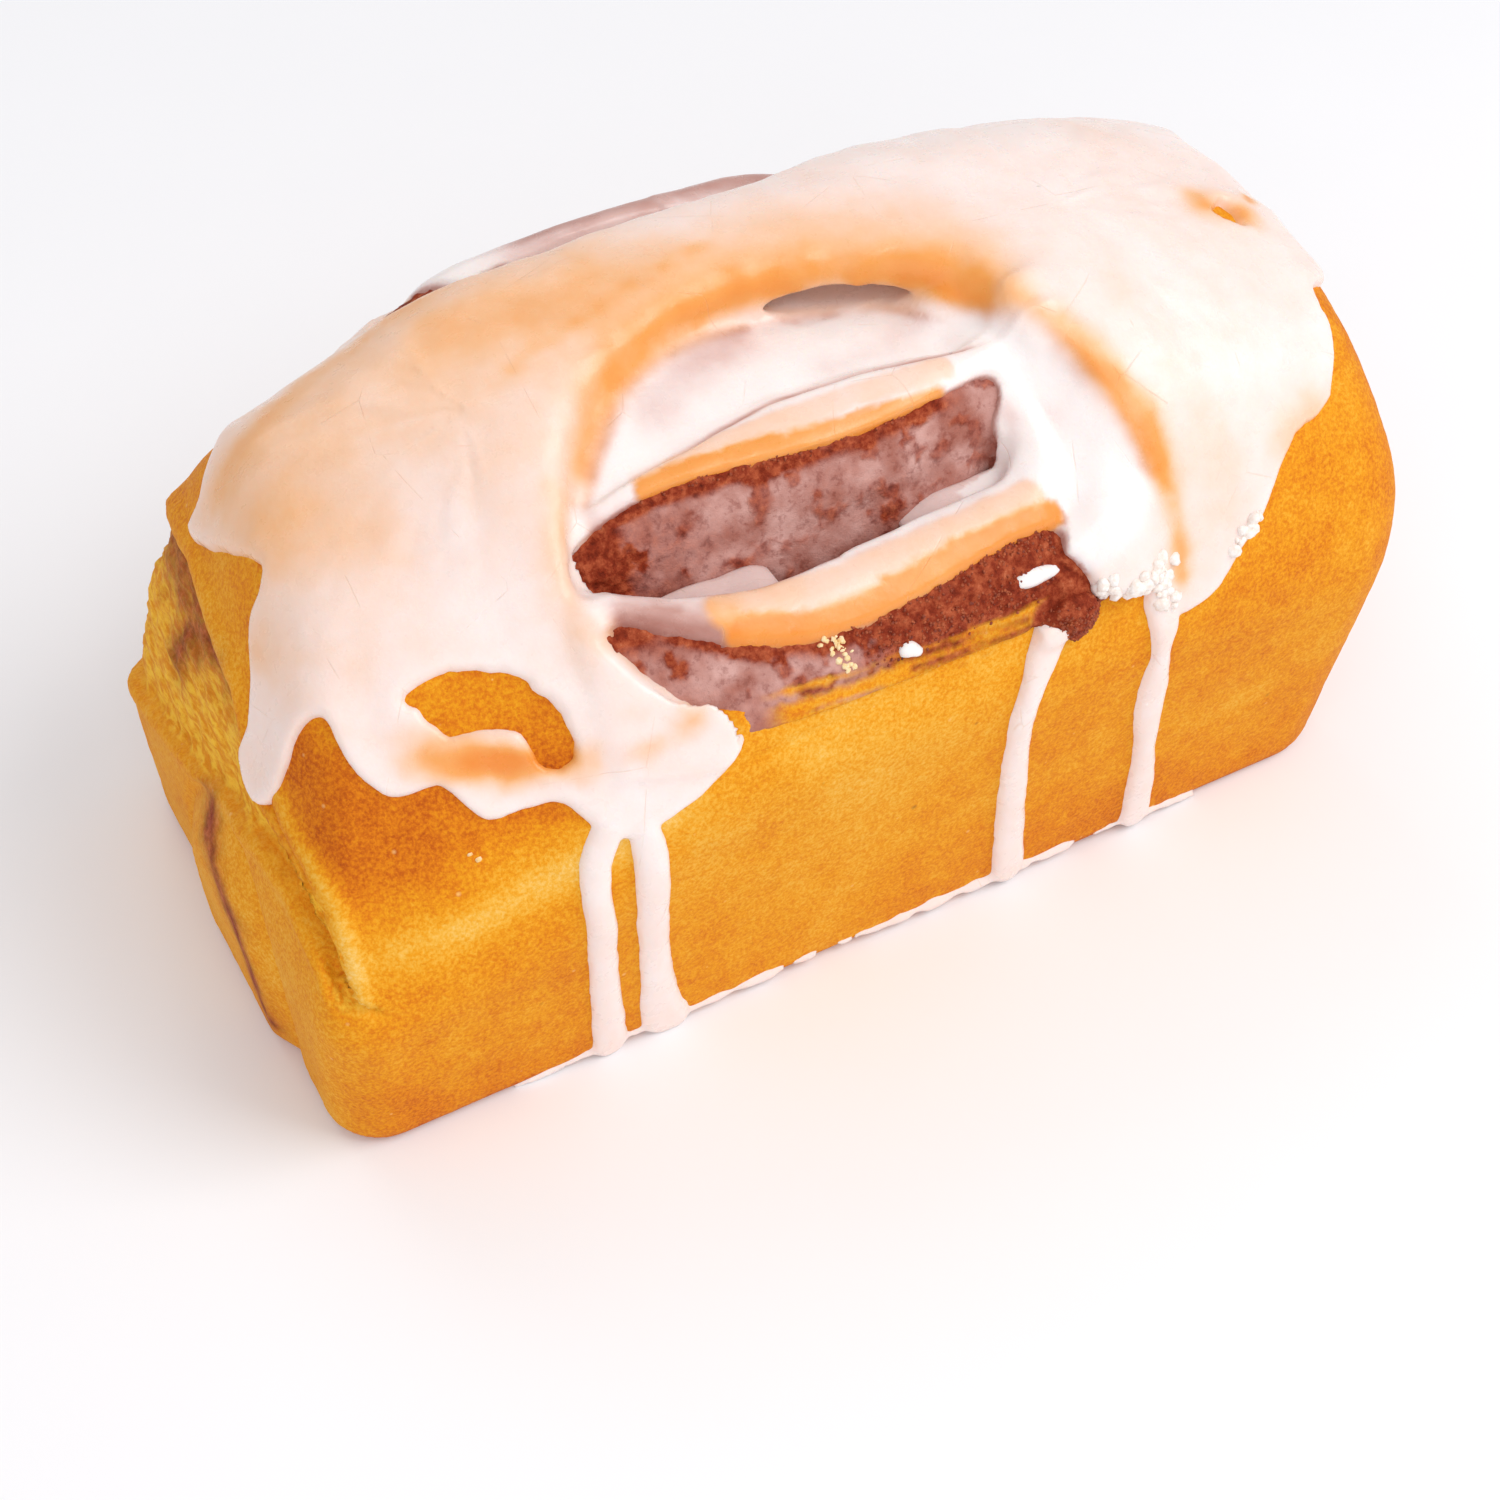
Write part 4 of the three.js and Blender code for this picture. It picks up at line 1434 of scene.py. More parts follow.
def new_material(name: str) -> tuple[bpy.types.Material, Shader, bpy.types.Node]:
    """A node material with its Principled shader.

    Args:
        name: The material's name.

    Returns:
        The material, its shader builder and its Principled node.
    """
    material = bpy.data.materials.new(name)
    material.use_nodes = True
    return material, Shader(material.node_tree), material.node_tree.nodes["Principled BSDF"]


# ---- finishes


@dataclass(frozen=True)
class BreadFinish:
    """Baked crust, torn crumb and cinnamon filling, told apart by numbers stored on the mesh.

    Attributes:
        bake: Crust colours from barely baked to dark.
        crumb: Light and dark of torn crumb.
        filling: Dark, middle and light of the cinnamon filling.
        film: Thin glaze over the filling, where it soaked in and where it stands.
        pale_dot: Small flour-pale dots on the crust.
        dark_dot: Rare burnt dots on the crust.
    """

    bake: Sequence[tuple[float, Colour]] = (
        (0.0, (0.88, 0.56, 0.16)), (0.2, (0.85, 0.44, 0.05)), (0.4, (0.81, 0.325, 0.006)),
        (0.6, (0.70, 0.195, 0.003)), (0.8, (0.52, 0.10, 0.002)), (1.0, (0.24, 0.035, 0.002)),
    )
    crumb: tuple[Colour, Colour] = ((0.98, 0.56, 0.045), (0.80, 0.28, 0.006))
    filling: Sequence[tuple[float, Colour]] = (
        (0.25, (0.09, 0.006, 0.001)), (0.45, (0.26, 0.030, 0.008)), (0.62, (0.46, 0.095, 0.035)),
        (0.8, (0.66, 0.23, 0.11)),
    )
    film: tuple[Colour, Colour] = ((0.38, 0.145, 0.11), (0.66, 0.39, 0.35))
    pale_dot: Colour = (0.95, 0.66, 0.30)
    dark_dot: Colour = (0.22, 0.05, 0.01)

    def material(self, effects: Effects) -> bpy.types.Material:
        """Builds the bread's material."""
        material, s, surface = new_material("baked bread")
        where = s.millimetres()
        grain = s.group(effects.grain, {"Vector": where, "Scale": 1.5, "Sharpness": 0.70}).outputs
        broad = s.noise(where, 0.045, 4.0)
        patch = s.noise(where, 0.22, 4.0, 0.6)
        filling, film, torn = s.attribute("filling"), s.attribute("film"), s.attribute("torn")
        bake = s.sway(s.sway(s.attribute("bake"), broad, 0.42), patch, 0.30)
        crust = s.ramp(s.sway(bake, grain["Tone"], 0.30, clamp=True), self.bake)
        pale = effects.dots(s, where, 0.42, 0.17, 0.10)
        crust = s.mix(s.math("MULTIPLY", pale, 0.55), crust, self.pale_dot)
        dark = effects.dots(s, where, 0.1, 0.07, 0.12)
        crust = s.mix(s.math("MULTIPLY", dark, 0.7), crust, self.dark_dot)
        fibre = s.noise(s.millimetres((1.0, 3.2, 1.0)), 0.9, 5.0, 0.65)
        crumb = s.mix(s.span(fibre, 0.38, 0.62), self.crumb[1], self.crumb[0])
        crust = s.mix(torn, crust, crumb)
        pores = s.noise(where, 0.55, 6.0, 0.66)
        swirl = s.ramp(pores, self.filling)
        wet = s.span(s.noise(where, 0.16, 3.0, 0.5), 0.30, 0.74)
        coat = s.mix(wet, self.film[0], self.film[1])
        soaked = s.math("MULTIPLY", film, s.span(pores, 0.36, 0.48, 0.60, 0.94))
        swirl = s.mix(soaked, swirl, coat)
        surface_colour = s.mix(filling, crust, swirl)
        s.tree.links.new(surface_colour, surface.inputs["Base Color"])
        coated = s.math("MULTIPLY", film, filling)
        rough = s.span(coated, 0.0, 1.0, 0.66, 0.27)
        s.tree.links.new(rough, surface.inputs["Roughness"])
        surface.inputs["Specular IOR Level"].default_value = 0.16
        crumbly = s.math("MULTIPLY", filling, s.math("SUBTRACT", 1.1, film))
        loose = s.math("ADD", s.math("MULTIPLY", torn, fibre), s.math("MULTIPLY", crumbly, pores))
        relief = s.math("ADD", s.math("MULTIPLY", grain["Height"], 0.55), s.math("MULTIPLY", loose, 1.5))
        bump = s.add("ShaderNodeBump", {"Height": relief, "Distance": 0.7 * MM, "Strength": 0.75})
        s.tree.links.new(bump.outputs[0], surface.inputs["Normal"])
        return material


@dataclass(frozen=True)
class GlazeFinish:
    """Set sugar glaze: clear and tan where it is thin, white where it is thick.

    Attributes:
        over_crust: Colours over crust, from clear to white.
        over_filling: Colours over cinnamon filling, from clear to white.
        speck: Crumbs stuck in the glaze.
        crack: Fine cracks in the glaze.
    """

    over_crust: Sequence[tuple[float, Colour]] = (
        (0.0, (0.80, 0.24, 0.02)), (0.25, (0.82, 0.34, 0.08)), (0.45, (0.85, 0.47, 0.24)),
        (0.65, (0.87, 0.59, 0.44)), (0.85, (0.885, 0.71, 0.65)), (1.0, (0.90, 0.80, 0.775)),
    )
    over_filling: Sequence[tuple[float, Colour]] = (
        (0.0, (0.30, 0.08, 0.05)), (0.35, (0.52, 0.28, 0.24)), (0.6, (0.74, 0.55, 0.52)),
        (0.8, (0.87, 0.77, 0.75)), (1.0, (0.92, 0.88, 0.87)),
    )
    speck: Colour = (0.80, 0.34, 0.12)
    crack: Colour = (0.72, 0.42, 0.26)

    def material(self, effects: Effects) -> bpy.types.Material:
        """Builds the glaze's material."""
        material, s, surface = new_material("sugar glaze")
        where = s.millimetres()
        cover = s.attribute("cover")
        cloud = s.noise(where, 0.11, 5.0, 0.6)
        cover = s.sway(cover, cloud, 0.22, clamp=True)
        tint = s.mix(s.attribute("under"), s.ramp(cover, self.over_crust), s.ramp(cover, self.over_filling))
        specks = effects.dots(s, where, 0.07, 0.045, 0.16)
        tint = s.mix(s.math("MULTIPLY", specks, 0.8), tint, self.speck)
        warp = s.add("ShaderNodeTexNoise", {"Vector": where, "Scale": 0.12}).outputs["Color"]
        cells = {"Vector": s.mix(0.06, where, warp), "Scale": 0.05}
        crack = s.add("ShaderNodeTexVoronoi", cells, feature="DISTANCE_TO_EDGE").outputs["Distance"]
        line = s.math("MULTIPLY", s.span(crack, 0.0, 0.008, 1.0, 0.0), s.span(cloud, 0.5, 0.6))
        tint = s.mix(s.math("MULTIPLY", line, 0.25), tint, self.crack)
        s.tree.links.new(tint, surface.inputs["Base Color"])
        gloss = s.span(s.noise(where, 0.3, 3.0), 0.3, 0.7, 0.24, 0.40)
        s.tree.links.new(gloss, surface.inputs["Roughness"])
        surface.inputs["Subsurface Weight"].default_value = 0.22
        surface.inputs["Subsurface Scale"].default_value = 1.6 * MM
        surface.inputs["Subsurface Radius"].default_value = (1.0, 0.55, 0.38)
        surface.inputs["IOR"].default_value = 1.46
        grain = s.group(effects.grain, {"Vector": where, "Scale": 0.45, "Sharpness": 0.45}).outputs["Height"]
        folds = s.noise(s.millimetres((2.4, 1.0, 1.0)), 0.55, 2.0)
        relief = s.math("ADD", s.math("MULTIPLY", grain, 0.35), s.math("MULTIPLY", folds, 0.22))
        relief = s.math("SUBTRACT", relief, s.math("MULTIPLY", line, 0.2))
        bump = s.add("ShaderNodeBump", {"Height": relief, "Distance": 0.5 * MM, "Strength": 0.45})
        s.tree.links.new(bump.outputs[0], surface.inputs["Normal"])
        return material


@dataclass(frozen=True)
class CrumbFinish:
    """Loose crumbs and flakes: two tones of one colour, rough all over."""

    name: str
    light: Colour
    dark: Colour
    roughness: float = 0.7

    def material(self, effects: Effects) -> bpy.types.Material:
        """Builds the crumbs' material."""
        material, s, surface = new_material(self.name)
        where = s.millimetres()
        grain = s.group(effects.grain, {"Vector": where, "Scale": 1.1, "Sharpness": 0.6}).outputs
        s.tree.links.new(s.mix(grain["Tone"], self.dark, self.light), surface.inputs["Base Color"])
        rough = s.span(grain["Height"], 0.3, 0.7, self.roughness - 0.1, self.roughness + 0.1)
        s.tree.links.new(rough, surface.inputs["Roughness"])
        bump = s.add("ShaderNodeBump", {"Height": grain["Height"], "Distance": 0.4 * MM, "Strength": 0.6})
        s.tree.links.new(bump.outputs[0], surface.inputs["Normal"])
        return material


@dataclass(frozen=True)
class TableFinish:
    """The plain pale surface under the loaf."""

    tone: Colour = (0.90, 0.905, 0.935)

    def material(self) -> bpy.types.Material:
        """Builds the table's material."""
        material, s, surface = new_material("pale table")
        soft = s.noise(s.millimetres(), 0.02, 2.0)
        shade = tuple(c * 0.985 for c in self.tone)
        s.tree.links.new(s.mix(soft, shade, self.tone), surface.inputs["Base Color"])
        surface.inputs["Roughness"].default_value = 0.7
        return material


# ---- the pieces


@dataclass(frozen=True)
class Crust:
    """The loaf's crust with its openings, its torn end and its tin-baked walls.

    Attributes:
        loaf: The loaf's shape.
        glaze: Where the glaze lies.
        block: The space it is meshed in.
        limit: Most triangles it may keep.
        mean_bake: How brown it is on the whole, from 0 to 1.
    """

    loaf: Loaf
    glaze: GlazeMap
    block: Block = Block((-112.0, -60.0, -2.5), (113.0, 61.0, 115.0), 0.85)
    limit: int = 186000
    mean_bake: float = 0.46

    def bake(self, points: Array) -> Array:
        """How brown the crust is at points on it, from 0, pale, to 1, dark, with a painted highlight along
        the fold above the tin's rim.

        Args:
            points: Points on the crust.

        Returns:
            The tone at each point.
        """
        x, y, z = points.T
        front = 1.0 - ramp(-50.0, -44.0, y)
        wall_top = np.interp(x, (-104, -80, -60, -40, -30), (47, 49, 55, 64, 72))
        above = ramp(-1.0, 7.0, z - wall_top)
        tone = np.full(len(x), self.mean_bake)
        wall = front * (1 - above)
        tone += wall * (-0.08 * bell(x + 5.0, 42.0) - 0.07 * bell(z - 66.0, 14.0) * bell(x, 45.0))
        tone += wall * (0.10 * ramp(30.0, 4.0, z) + 0.05 * bell(x - 36.0, 16.0))
        facet = above * (1.0 - ramp(-40.0, -28.0, x)) * (1.0 - ramp(-30.0, 5.0, y))
        tone += facet * (0.30 * ramp(1.0, 15.0, z - wall_top) * (1.0 - 0.6 * ramp(68.0, 78.0, z)) - 0.05)
        # Painted highlight: a paler band along the fold where the left front wall meets the sloping top.
        tone -= (0.26 * bell(z - wall_top + 0.5, 3.4)) * front * (1.0 - ramp(-48.0, -36.0, x))
        left = 1.0 - ramp(-100.0, -94.0, x)
        tone -= left * (1 - front) * 0.08
        far_patch = 0.22 * bell(np.hypot(y + 6.0, z - 84.0), 9.0) * ramp(88.0, 98.0, x)
        tone += 0.10 * ramp(90.0, 104.0, x) + far_patch
        tone += 0.20 * (1.0 - ramp(0.0, 4.0, z))
        seam = 73.0 - 0.02 * (x - 5.0) - z
        tone += 0.30 * front * bell(seam, 1.6) * ramp(-34.0, -24.0, x) * (1.0 - ramp(18.0, 28.0, x))
        return tone

    def displace(self, points: Array, normal: Array, torn: Array) -> Array:
        """Moves the crust's points along their normals, for dents, tin texture and torn fibres.

        Args:
            points: Points on the crust.
            normal: Their outward normals.
            torn: How torn the crust is at each.

        Returns:
            The moved points.
        """
        waves = 0.55 * Noise(1, 42.0, 2)(points) + 0.16 * Noise(2, 9.0, 2)(points)
        grain = 0.09 * Noise(3, 1.7, 2)(points)
        fibres = torn * (1.1 * Noise(4, 2.2, 3, (1.0, 2.8, 1.0))(points) - 0.4)
        x, y, z = points.T
        split = FISSURE(points) * (0.5 * Noise(18, 1.8, 2)(points) - 1.6)
        fibres = fibres + split + 0.6 * FISSURE_LIP(points)
        front = 1.0 - ramp(-51.0, -47.0, y)
        seam_z = 72.4 - 0.02 * (x - 5.0) + 0.7 * Noise(5, 14.0, 2)(points)
        seam = front * bell(z - seam_z, 0.9) * ramp(-36.0, -26.0, x) * (1.0 - ramp(22.0, 32.0, x))
        crease = front * bell(z - 66.0 - 0.05 * (x + 30.0), 0.8) * bell(x + 22.0, 14.0)
        move = np.where(z > 1.2, waves + grain, 0.0) + fibres - 0.8 * seam - 0.4 * crease
        return points + normal * move[:, None]

    def build(self, material: bpy.types.Material) -> bpy.types.Object:
        """Meshes the crust and stores where it is baked, torn and stained.

        Args:
            material: The bread's material.

        Returns:
            The crust's object.
        """
        points, faces = drop_shards(*self.block.mesh(self.loaf.crust))
        normal = gradient(self.loaf.crust, points)
        x, y, z = points.T
        torn = self.loaf.tear(x, y, z)
        points = self.displace(points, normal, torn)
        points[:, 2] = np.maximum(points[:, 2], 0.0)
        piece = add_object("bread_crust", points, faces)
        hidden = ramp(0.0, 0.5, self.glaze.depth(x, y, z)) * ramp(55.0, 60.0, z)
        under = 1.0 - ramp(0.0, 2.0, z)
        thin_out(piece, np.clip(0.12 + hidden + under, 0.0, 1.0), self.limit)
        self.paint(piece)
        dress(piece, material)
        return piece

    def paint(self, piece: bpy.types.Object) -> None:
        """Stores the masks that the bread's material reads."""
        points = points_of(piece)
        x, y, z = points.T
        torn = self.loaf.tear(x, y, z)
        stain = 0.8 * torn * ramp(54.0, 66.0, z + 5.0 * Noise(6, 5.0, 3)(points)) * ramp(-8.0, 2.0, y)
        rough = points + 3.6 * drift(points, 6.0, 4, (7, 14, 15))
        for streak in END_STREAKS:
            stain = np.maximum(stain, streak(rough))
        torn = np.maximum(torn, ramp(0.3, 0.6, FISSURE(points)))
        inside = ramp(0.5, 2.5, -self.loaf.hull(x, y, z)) * ramp(60.0, 66.0, z)
        stain = np.maximum(stain, inside)
        wander, broken = near_seam(points), ramp(-0.35, 0.1, Noise(17, 3.0, 2, (0.4, 1.0, 1.0))(points))
        for streak in SEAM_STREAKS:
            stain = np.maximum(stain, streak(wander) * broken)
        # The stored tone is the browning together with the painted highlight along the fold above the rim.
        set_attribute(piece, "bake", self.bake(points) - 0.30 * FISSURE_LIP(points))
        set_attribute(piece, "torn", torn)
        set_attribute(piece, "filling", np.clip(stain, 0.0, 1.0))
        set_attribute(piece, "film", np.zeros(len(points)))


@dataclass(frozen=True)
class Rolls:
    """The rolls of cinnamon dough that show in the openings, and the crumb that broke off beside them.

    Attributes:
        loaf: The loaf's shape.
        block: The space it is meshed in.
        limit: Most triangles it may keep.
        lump: The crumb.
    """

    loaf: Loaf
    block: Block = Block((-60.0, -57.0, 66.0), (50.0, 56.0, 108.0), 0.55)
    limit: int = 190000
    lump: Blob = Blob((28.5, -53.6, 70.0), (5.4, 2.8, 4.6))

    def field(self, x: Array, y: Array, z: Array) -> Array:
        """The rolls cut off inside the loaf, with the crumb."""
        return smooth_min(self.loaf.rolls(x, y, z, 1.0), self.lump.field(x, y, z), 1.0)

    def masks(self, points: Array) -> tuple[Array, Array]:
        """Where cinnamon filling shows, and where thin glaze lies on it.

        Args:
            points: Points on the rolls.

        Returns:
            The filling's share and the film's share at each point.
        """
        x, y, z = points.T
        wobble = 0.5 * Noise(31, 4.0, 2)(points)
        filling = np.zeros(len(points))
        near_rear = 1.0 - ramp(-1.0, 1.0, np.abs(self.loaf.rear.field(x, y, z)) - 1.5)
        for roll in (self.loaf.upper, self.loaf.lower, self.loaf.inner, self.loaf.rear):
            face, top = roll.parts(x, y, z)
            near = ramp(-3.0, -1.0, roll.field(x, y, z))
            edge = ramp(-0.6, 0.5, face - top + wobble)
            filling = np.maximum(filling, near * edge)
        below_seam = 1.0 - ramp(74.4, 75.4, z + 0.03 * x + wobble)
        layered = (1.0 - ramp(-50.0, -49.0, y)) * below_seam * ramp(-30.0, -24.0, x)
        wander = near_seam(points)
        streaks = np.max([streak(wander) for streak in SEAM_STREAKS], axis=0)
        filling = filling * (1.0 - layered) + layered * streaks
        filling = np.maximum(filling, 1.0 - ramp(1.0, 2.0, self.lump.field(x, y, z)))
        front = self.loaf.lower.parts(x, y, z)
        back = self.loaf.upper.parts(x, y, z)
        on_front = 1.0 - ramp(-42.0, -38.0, y)
        below_front, below_back = front[0] - front[1], back[0] - back[1]
        bare = on_front * ramp(-14.0, -4.0, x + 0.5 * (z - 78.0) + 4.0 * Noise(37, 5.0, 2)(points))
        bare = np.maximum(bare, (1.0 - on_front) * (1.0 - ramp(-44.0, -37.0, x)))
        back_line = (1.0 - on_front) * (1.0 - ramp(1.6, 3.0, below_back + 1.6 * wobble))
        bare = np.maximum(bare, back_line * (1.0 - ramp(16.0, 26.0, x)))
        front_line = on_front * (1.0 - ramp(0.8, 2.0, below_front + 0.8 * wobble))
        bare = np.maximum(bare, front_line * ramp(-44.0, -38.0, x))
        behind = ramp(30.0, 34.0, y) * near_rear
        filling = np.maximum(filling, behind)
        film = 1.0 - bare + 0.30 * Noise(32, 6.0, 3)(points) + 0.15 * Noise(38, 2.0, 2)(points)
        film = film - 0.9 * behind * ramp(0.0, 0.25, Noise(39, 7.0, 3)(points))
        film = film - 0.7 * ramp(0.12, 0.35, Noise(40, 3.4, 3)(points)) - 0.15 * on_front
        left_part = 1.0 - ramp(-42.0, -20.0, x + 6.0 * Noise(46, 9.0, 2)(points))
        film = film - 0.45 * (1.0 - on_front) * left_part
        depth = -self.loaf.hull(x, y, z)
        return filling, np.clip(film, 0.0, 1.0) * (1.0 - ramp(13.0, 17.0, depth))

    def build(self, material: bpy.types.Material) -> bpy.types.Object:
        """Meshes the rolls with their porous faces.

        Args:
            material: The bread's material.

        Returns:
            The rolls' object.
        """
        points, faces = drop_shards(*self.block.mesh(self.field))
        filling, film = self.masks(points)
        normal = gradient(self.field, points)
        pits = Noise(33, 2.4, 3)(points)
        pores = np.minimum(Noise(34, 1.3, 2)(points) + 0.15, 0.0)
        coarse = 0.14 + 0.55 * (1.0 - film)
        fine = 0.22 + 0.78 * (1.0 - film)
        move = filling * (coarse * pits + pores * fine) + 0.14 * Noise(35, 5.0, 2)(points)
        points = points + normal * move[:, None]
        piece = add_object("bread_rolls", points, faces)
        thin_out(piece, ramp(6.0, 16.0, -self.loaf.hull(*points.T)), self.limit)
        self.paint(piece)
        dress(piece, material)
        return piece

    def paint(self, piece: bpy.types.Object) -> None:
        """Stores the masks that the bread's material reads."""
        points = points_of(piece)
        filling, film = self.masks(points)
        set_attribute(piece, "bake", np.full(len(points), 0.42) + 0.1 * Noise(36, 8.0, 2)(points))
        set_attribute(piece, "torn", np.zeros(len(points)))
        set_attribute(piece, "filling", filling)
        set_attribute(piece, "film", film)


@dataclass(frozen=True)
class Glaze:
    """The poured coat of glaze, as one closed skin whose inner side is sunk into the bread.

    Attributes:
        loaf: The loaf's shape.
        glaze: Where the glaze lies, and how thick.
        block: The space it is meshed in.
        limit: Most triangles it may keep.
        sunk: Depth of the inner side below the bread, less than the coat's surface dives at its edges.
        crease: Depth of the creases where the coat runs into a corner.
        least_weight: How freely the side that shows may be thinned out, from 0 to 1.
    """

    loaf: Loaf
    glaze: GlazeMap
    block: Block = Block((-113.0, -62.0, -0.4), (114.0, 62.0, 116.5), 0.62)
    limit: int = 194000
    sunk: float = 1.5
    crease: float = 0.55
    least_weight: float = 0.12

    def field(self, x: Array, y: Array, z: Array) -> Array:
        """The coat's solid.

        Args:
            x: Along the loaf.
            y: Across the loaf.
            z: Heights.

        Returns:
            The solid's field.
        """
        ground = self.loaf.filled(x, y, z)
        coat = np.maximum(ground - self.glaze.depth(x, y, z), -ground - self.sunk)
        coat = smooth_min(coat, self.glaze.pool(x, y, z), 1.2)
        for blob in BLOBS:
            coat = smooth_min(coat, blob.field(x, y, z), 0.6)
        return coat

    def build(self, material: bpy.types.Material) -> bpy.types.Object:
        """Meshes the coat and stores how opaque it is.

        Args:
            material: The glaze's material.

        Returns:
            The coat's object.
        """
        points, faces = drop_shards(*self.block.mesh(self.field))
        normal = gradient(self.loaf.filled, points)
        ground = self.loaf.filled(*points.T)
        outer = ramp(-0.9, -0.2, ground)
        flow = 0.24 * Noise(41, 16.0, 2, (1.0, 1.6, 1.0))(points) + 0.06 * Noise(42, 4.0, 2)(points)
        for crease in SHADED_CREASES:
            flow = flow - self.crease * crease(points)
        points = points + normal * (flow * outer)[:, None]
        points[:, 2] = np.maximum(points[:, 2], 0.05)
        piece = add_object("glaze_coat", points, faces)
        thin_out(piece, self.least_weight + 0.5 * (1.0 - outer), self.limit)
        self.paint(piece)
        dress(piece, material)
        return piece

    def paint(self, piece: bpy.types.Object) -> None:
        """Stores the glaze's cover and what lies under it."""
        points = points_of(piece)
        dough = sum(stroke.band(points) for stroke in CREST_VEILS)
        set_attribute(piece, "cover", self.glaze.cover(points))
        set_attribute(piece, "under", np.clip(self.glaze.inside(points) * (1.0 - dough), 0.0, 1.0))


# ---- loose crumbs and flakes


@dataclass(frozen=True)
class Grains:
    """Small lumps scattered over a piece where a stroke marks it, by Geometry Nodes.

    Attributes:
        name: The new piece's name.
        marks: Where they lie.
        density: Lumps for each square millimetre on a mark's line.
        sizes: Smallest and largest diameter in millimetres.
        flatness: Thickness as a share of the diameter.
        seed: Picks the places, sizes and turns.
        detail: How often a lump's faces are split.
        faintest: Weakest mark that still gets lumps.
    """

    name: str
    marks: Sequence[Stroke]
    density: float
    sizes: tuple[float, float]
    flatness: float
    seed: int
    detail: int = 1
    faintest: float = 0.12

    def lump(self) -> bpy.types.Object:
        """One rough lump, one millimetre across."""
        mesh = bmesh.new()
        bmesh.ops.create_icosphere(mesh, subdivisions=self.detail, radius=0.5)
        places = np.array([vertex.co for vertex in mesh.verts])
        swell = 1.0 + 0.42 * Noise(self.seed, 0.35, 2)(places)
        faces = np.array([[vertex.index for vertex in face.verts] for face in mesh.faces])
        mesh.free()
        places = places * swell[:, None] * (1.0, 1.0, self.flatness)
        piece = add_object(f"{self.name}_lump", places, faces)
        bpy.context.scene.collection.objects.unlink(piece)
        return piece

    def tree(self, material: bpy.types.Material) -> bpy.types.NodeTree:
        """Builds the scatter's node tree.

        Args:
            material: The lumps' finish.

        Returns:
            A tree that turns the marked piece into loose lumps.
        """
        tree = bpy.data.node_groups.new(self.name, "GeometryNodeTree")
        sockets = (("Geometry", "Geometry"), ("Lump", "Object"), ("Density", "Float"),
                   ("Smallest", "Float"), ("Largest", "Float"), ("Seed", "Int"))
        for label, kind in sockets:
            tree.interface.new_socket(label, in_out="INPUT", socket_type=f"NodeSocket{kind}")
        tree.interface.new_socket("Geometry", in_out="OUTPUT", socket_type="NodeSocketGeometry")
        shader = Shader(tree)
        given = shader.add("NodeGroupInput").outputs
        mark = shader.add("GeometryNodeInputNamedAttribute", {"Name": "mark"}, data_type="FLOAT")
        density = shader.math("MULTIPLY", mark.outputs["Attribute"], given["Density"])
        spread = shader.add("GeometryNodeDistributePointsOnFaces",
                            {"Mesh": given["Geometry"], "Density": density, "Seed": given["Seed"]})
        size = shader.add("FunctionNodeRandomValue", data_type="FLOAT")
        turn = shader.add("FunctionNodeRandomValue", data_type="FLOAT_VECTOR")
        ranges = ((size, "Min_001", given["Smallest"]), (size, "Max_001", given["Largest"]),
                  (turn, "Max", (0.9, 0.9, math.tau)))
        for node, identifier, value in ranges:
            shader.feed(socket_of(node.inputs, identifier), value)
        turned = {"Rotation": spread.outputs["Rotation"], "Rotate By": socket_of(turn.outputs, "Value")}
        facing = shader.add("FunctionNodeRotateRotation", turned, rotation_space="LOCAL").outputs[0]
        source = shader.add("GeometryNodeObjectInfo", {"Object": given["Lump"]}).outputs["Geometry"]
        instance = {"Points": spread.outputs["Points"], "Instance": source, "Rotation": facing,
                    "Scale": socket_of(size.outputs, "Value_001")}
        placed = shader.add("GeometryNodeInstanceOnPoints", instance)
        real = shader.add("GeometryNodeRealizeInstances", {"Geometry": placed.outputs[0]}).outputs[0]
        finished = shader.add("GeometryNodeSetMaterial", {"Geometry": real, "Material": material}).outputs[0]
        out = shader.add("NodeGroupOutput")
        tree.links.new(finished, out.inputs[0])
        return tree

    def build(self, host: bpy.types.Object, material: bpy.types.Material) -> bpy.types.Object:
        """Scatters the lumps over a piece.

        Args:
            host: The piece they lie on.
            material: Their finish.

        Returns:
            The lumps as one plain mesh object.
        """
        carrier = bpy.data.objects.new(f"{self.name}_carrier", host.data.copy())
        bpy.context.scene.collection.objects.link(carrier)
        points = points_of(carrier)
        strength = np.max([mark(points) for mark in self.marks], axis=0)
        set_attribute(carrier, "mark", np.where(strength > self.faintest, strength, 0.0))
        lump, tree = self.lump(), self.tree(material)
        modifier = carrier.modifiers.new("scatter", "NODES")
        modifier.node_group = tree
        values = {"Lump": lump, "Density": self.density / MM**2, "Smallest": self.sizes[0],
                  "Largest": self.sizes[1], "Seed": self.seed}
        for item in tree.interface.items_tree:
            if item.in_out == "INPUT" and item.name in values:
                modifier[item.identifier] = values[item.name]
        graph = bpy.context.evaluated_depsgraph_get()
        mesh = bpy.data.meshes.new_from_object(carrier.evaluated_get(graph))
        mesh.name = self.name
        for scaffold in (carrier, lump):
            bpy.data.objects.remove(scaffold)
        piece = bpy.data.objects.new(self.name, mesh)
        bpy.context.scene.collection.objects.link(piece)
        return piece


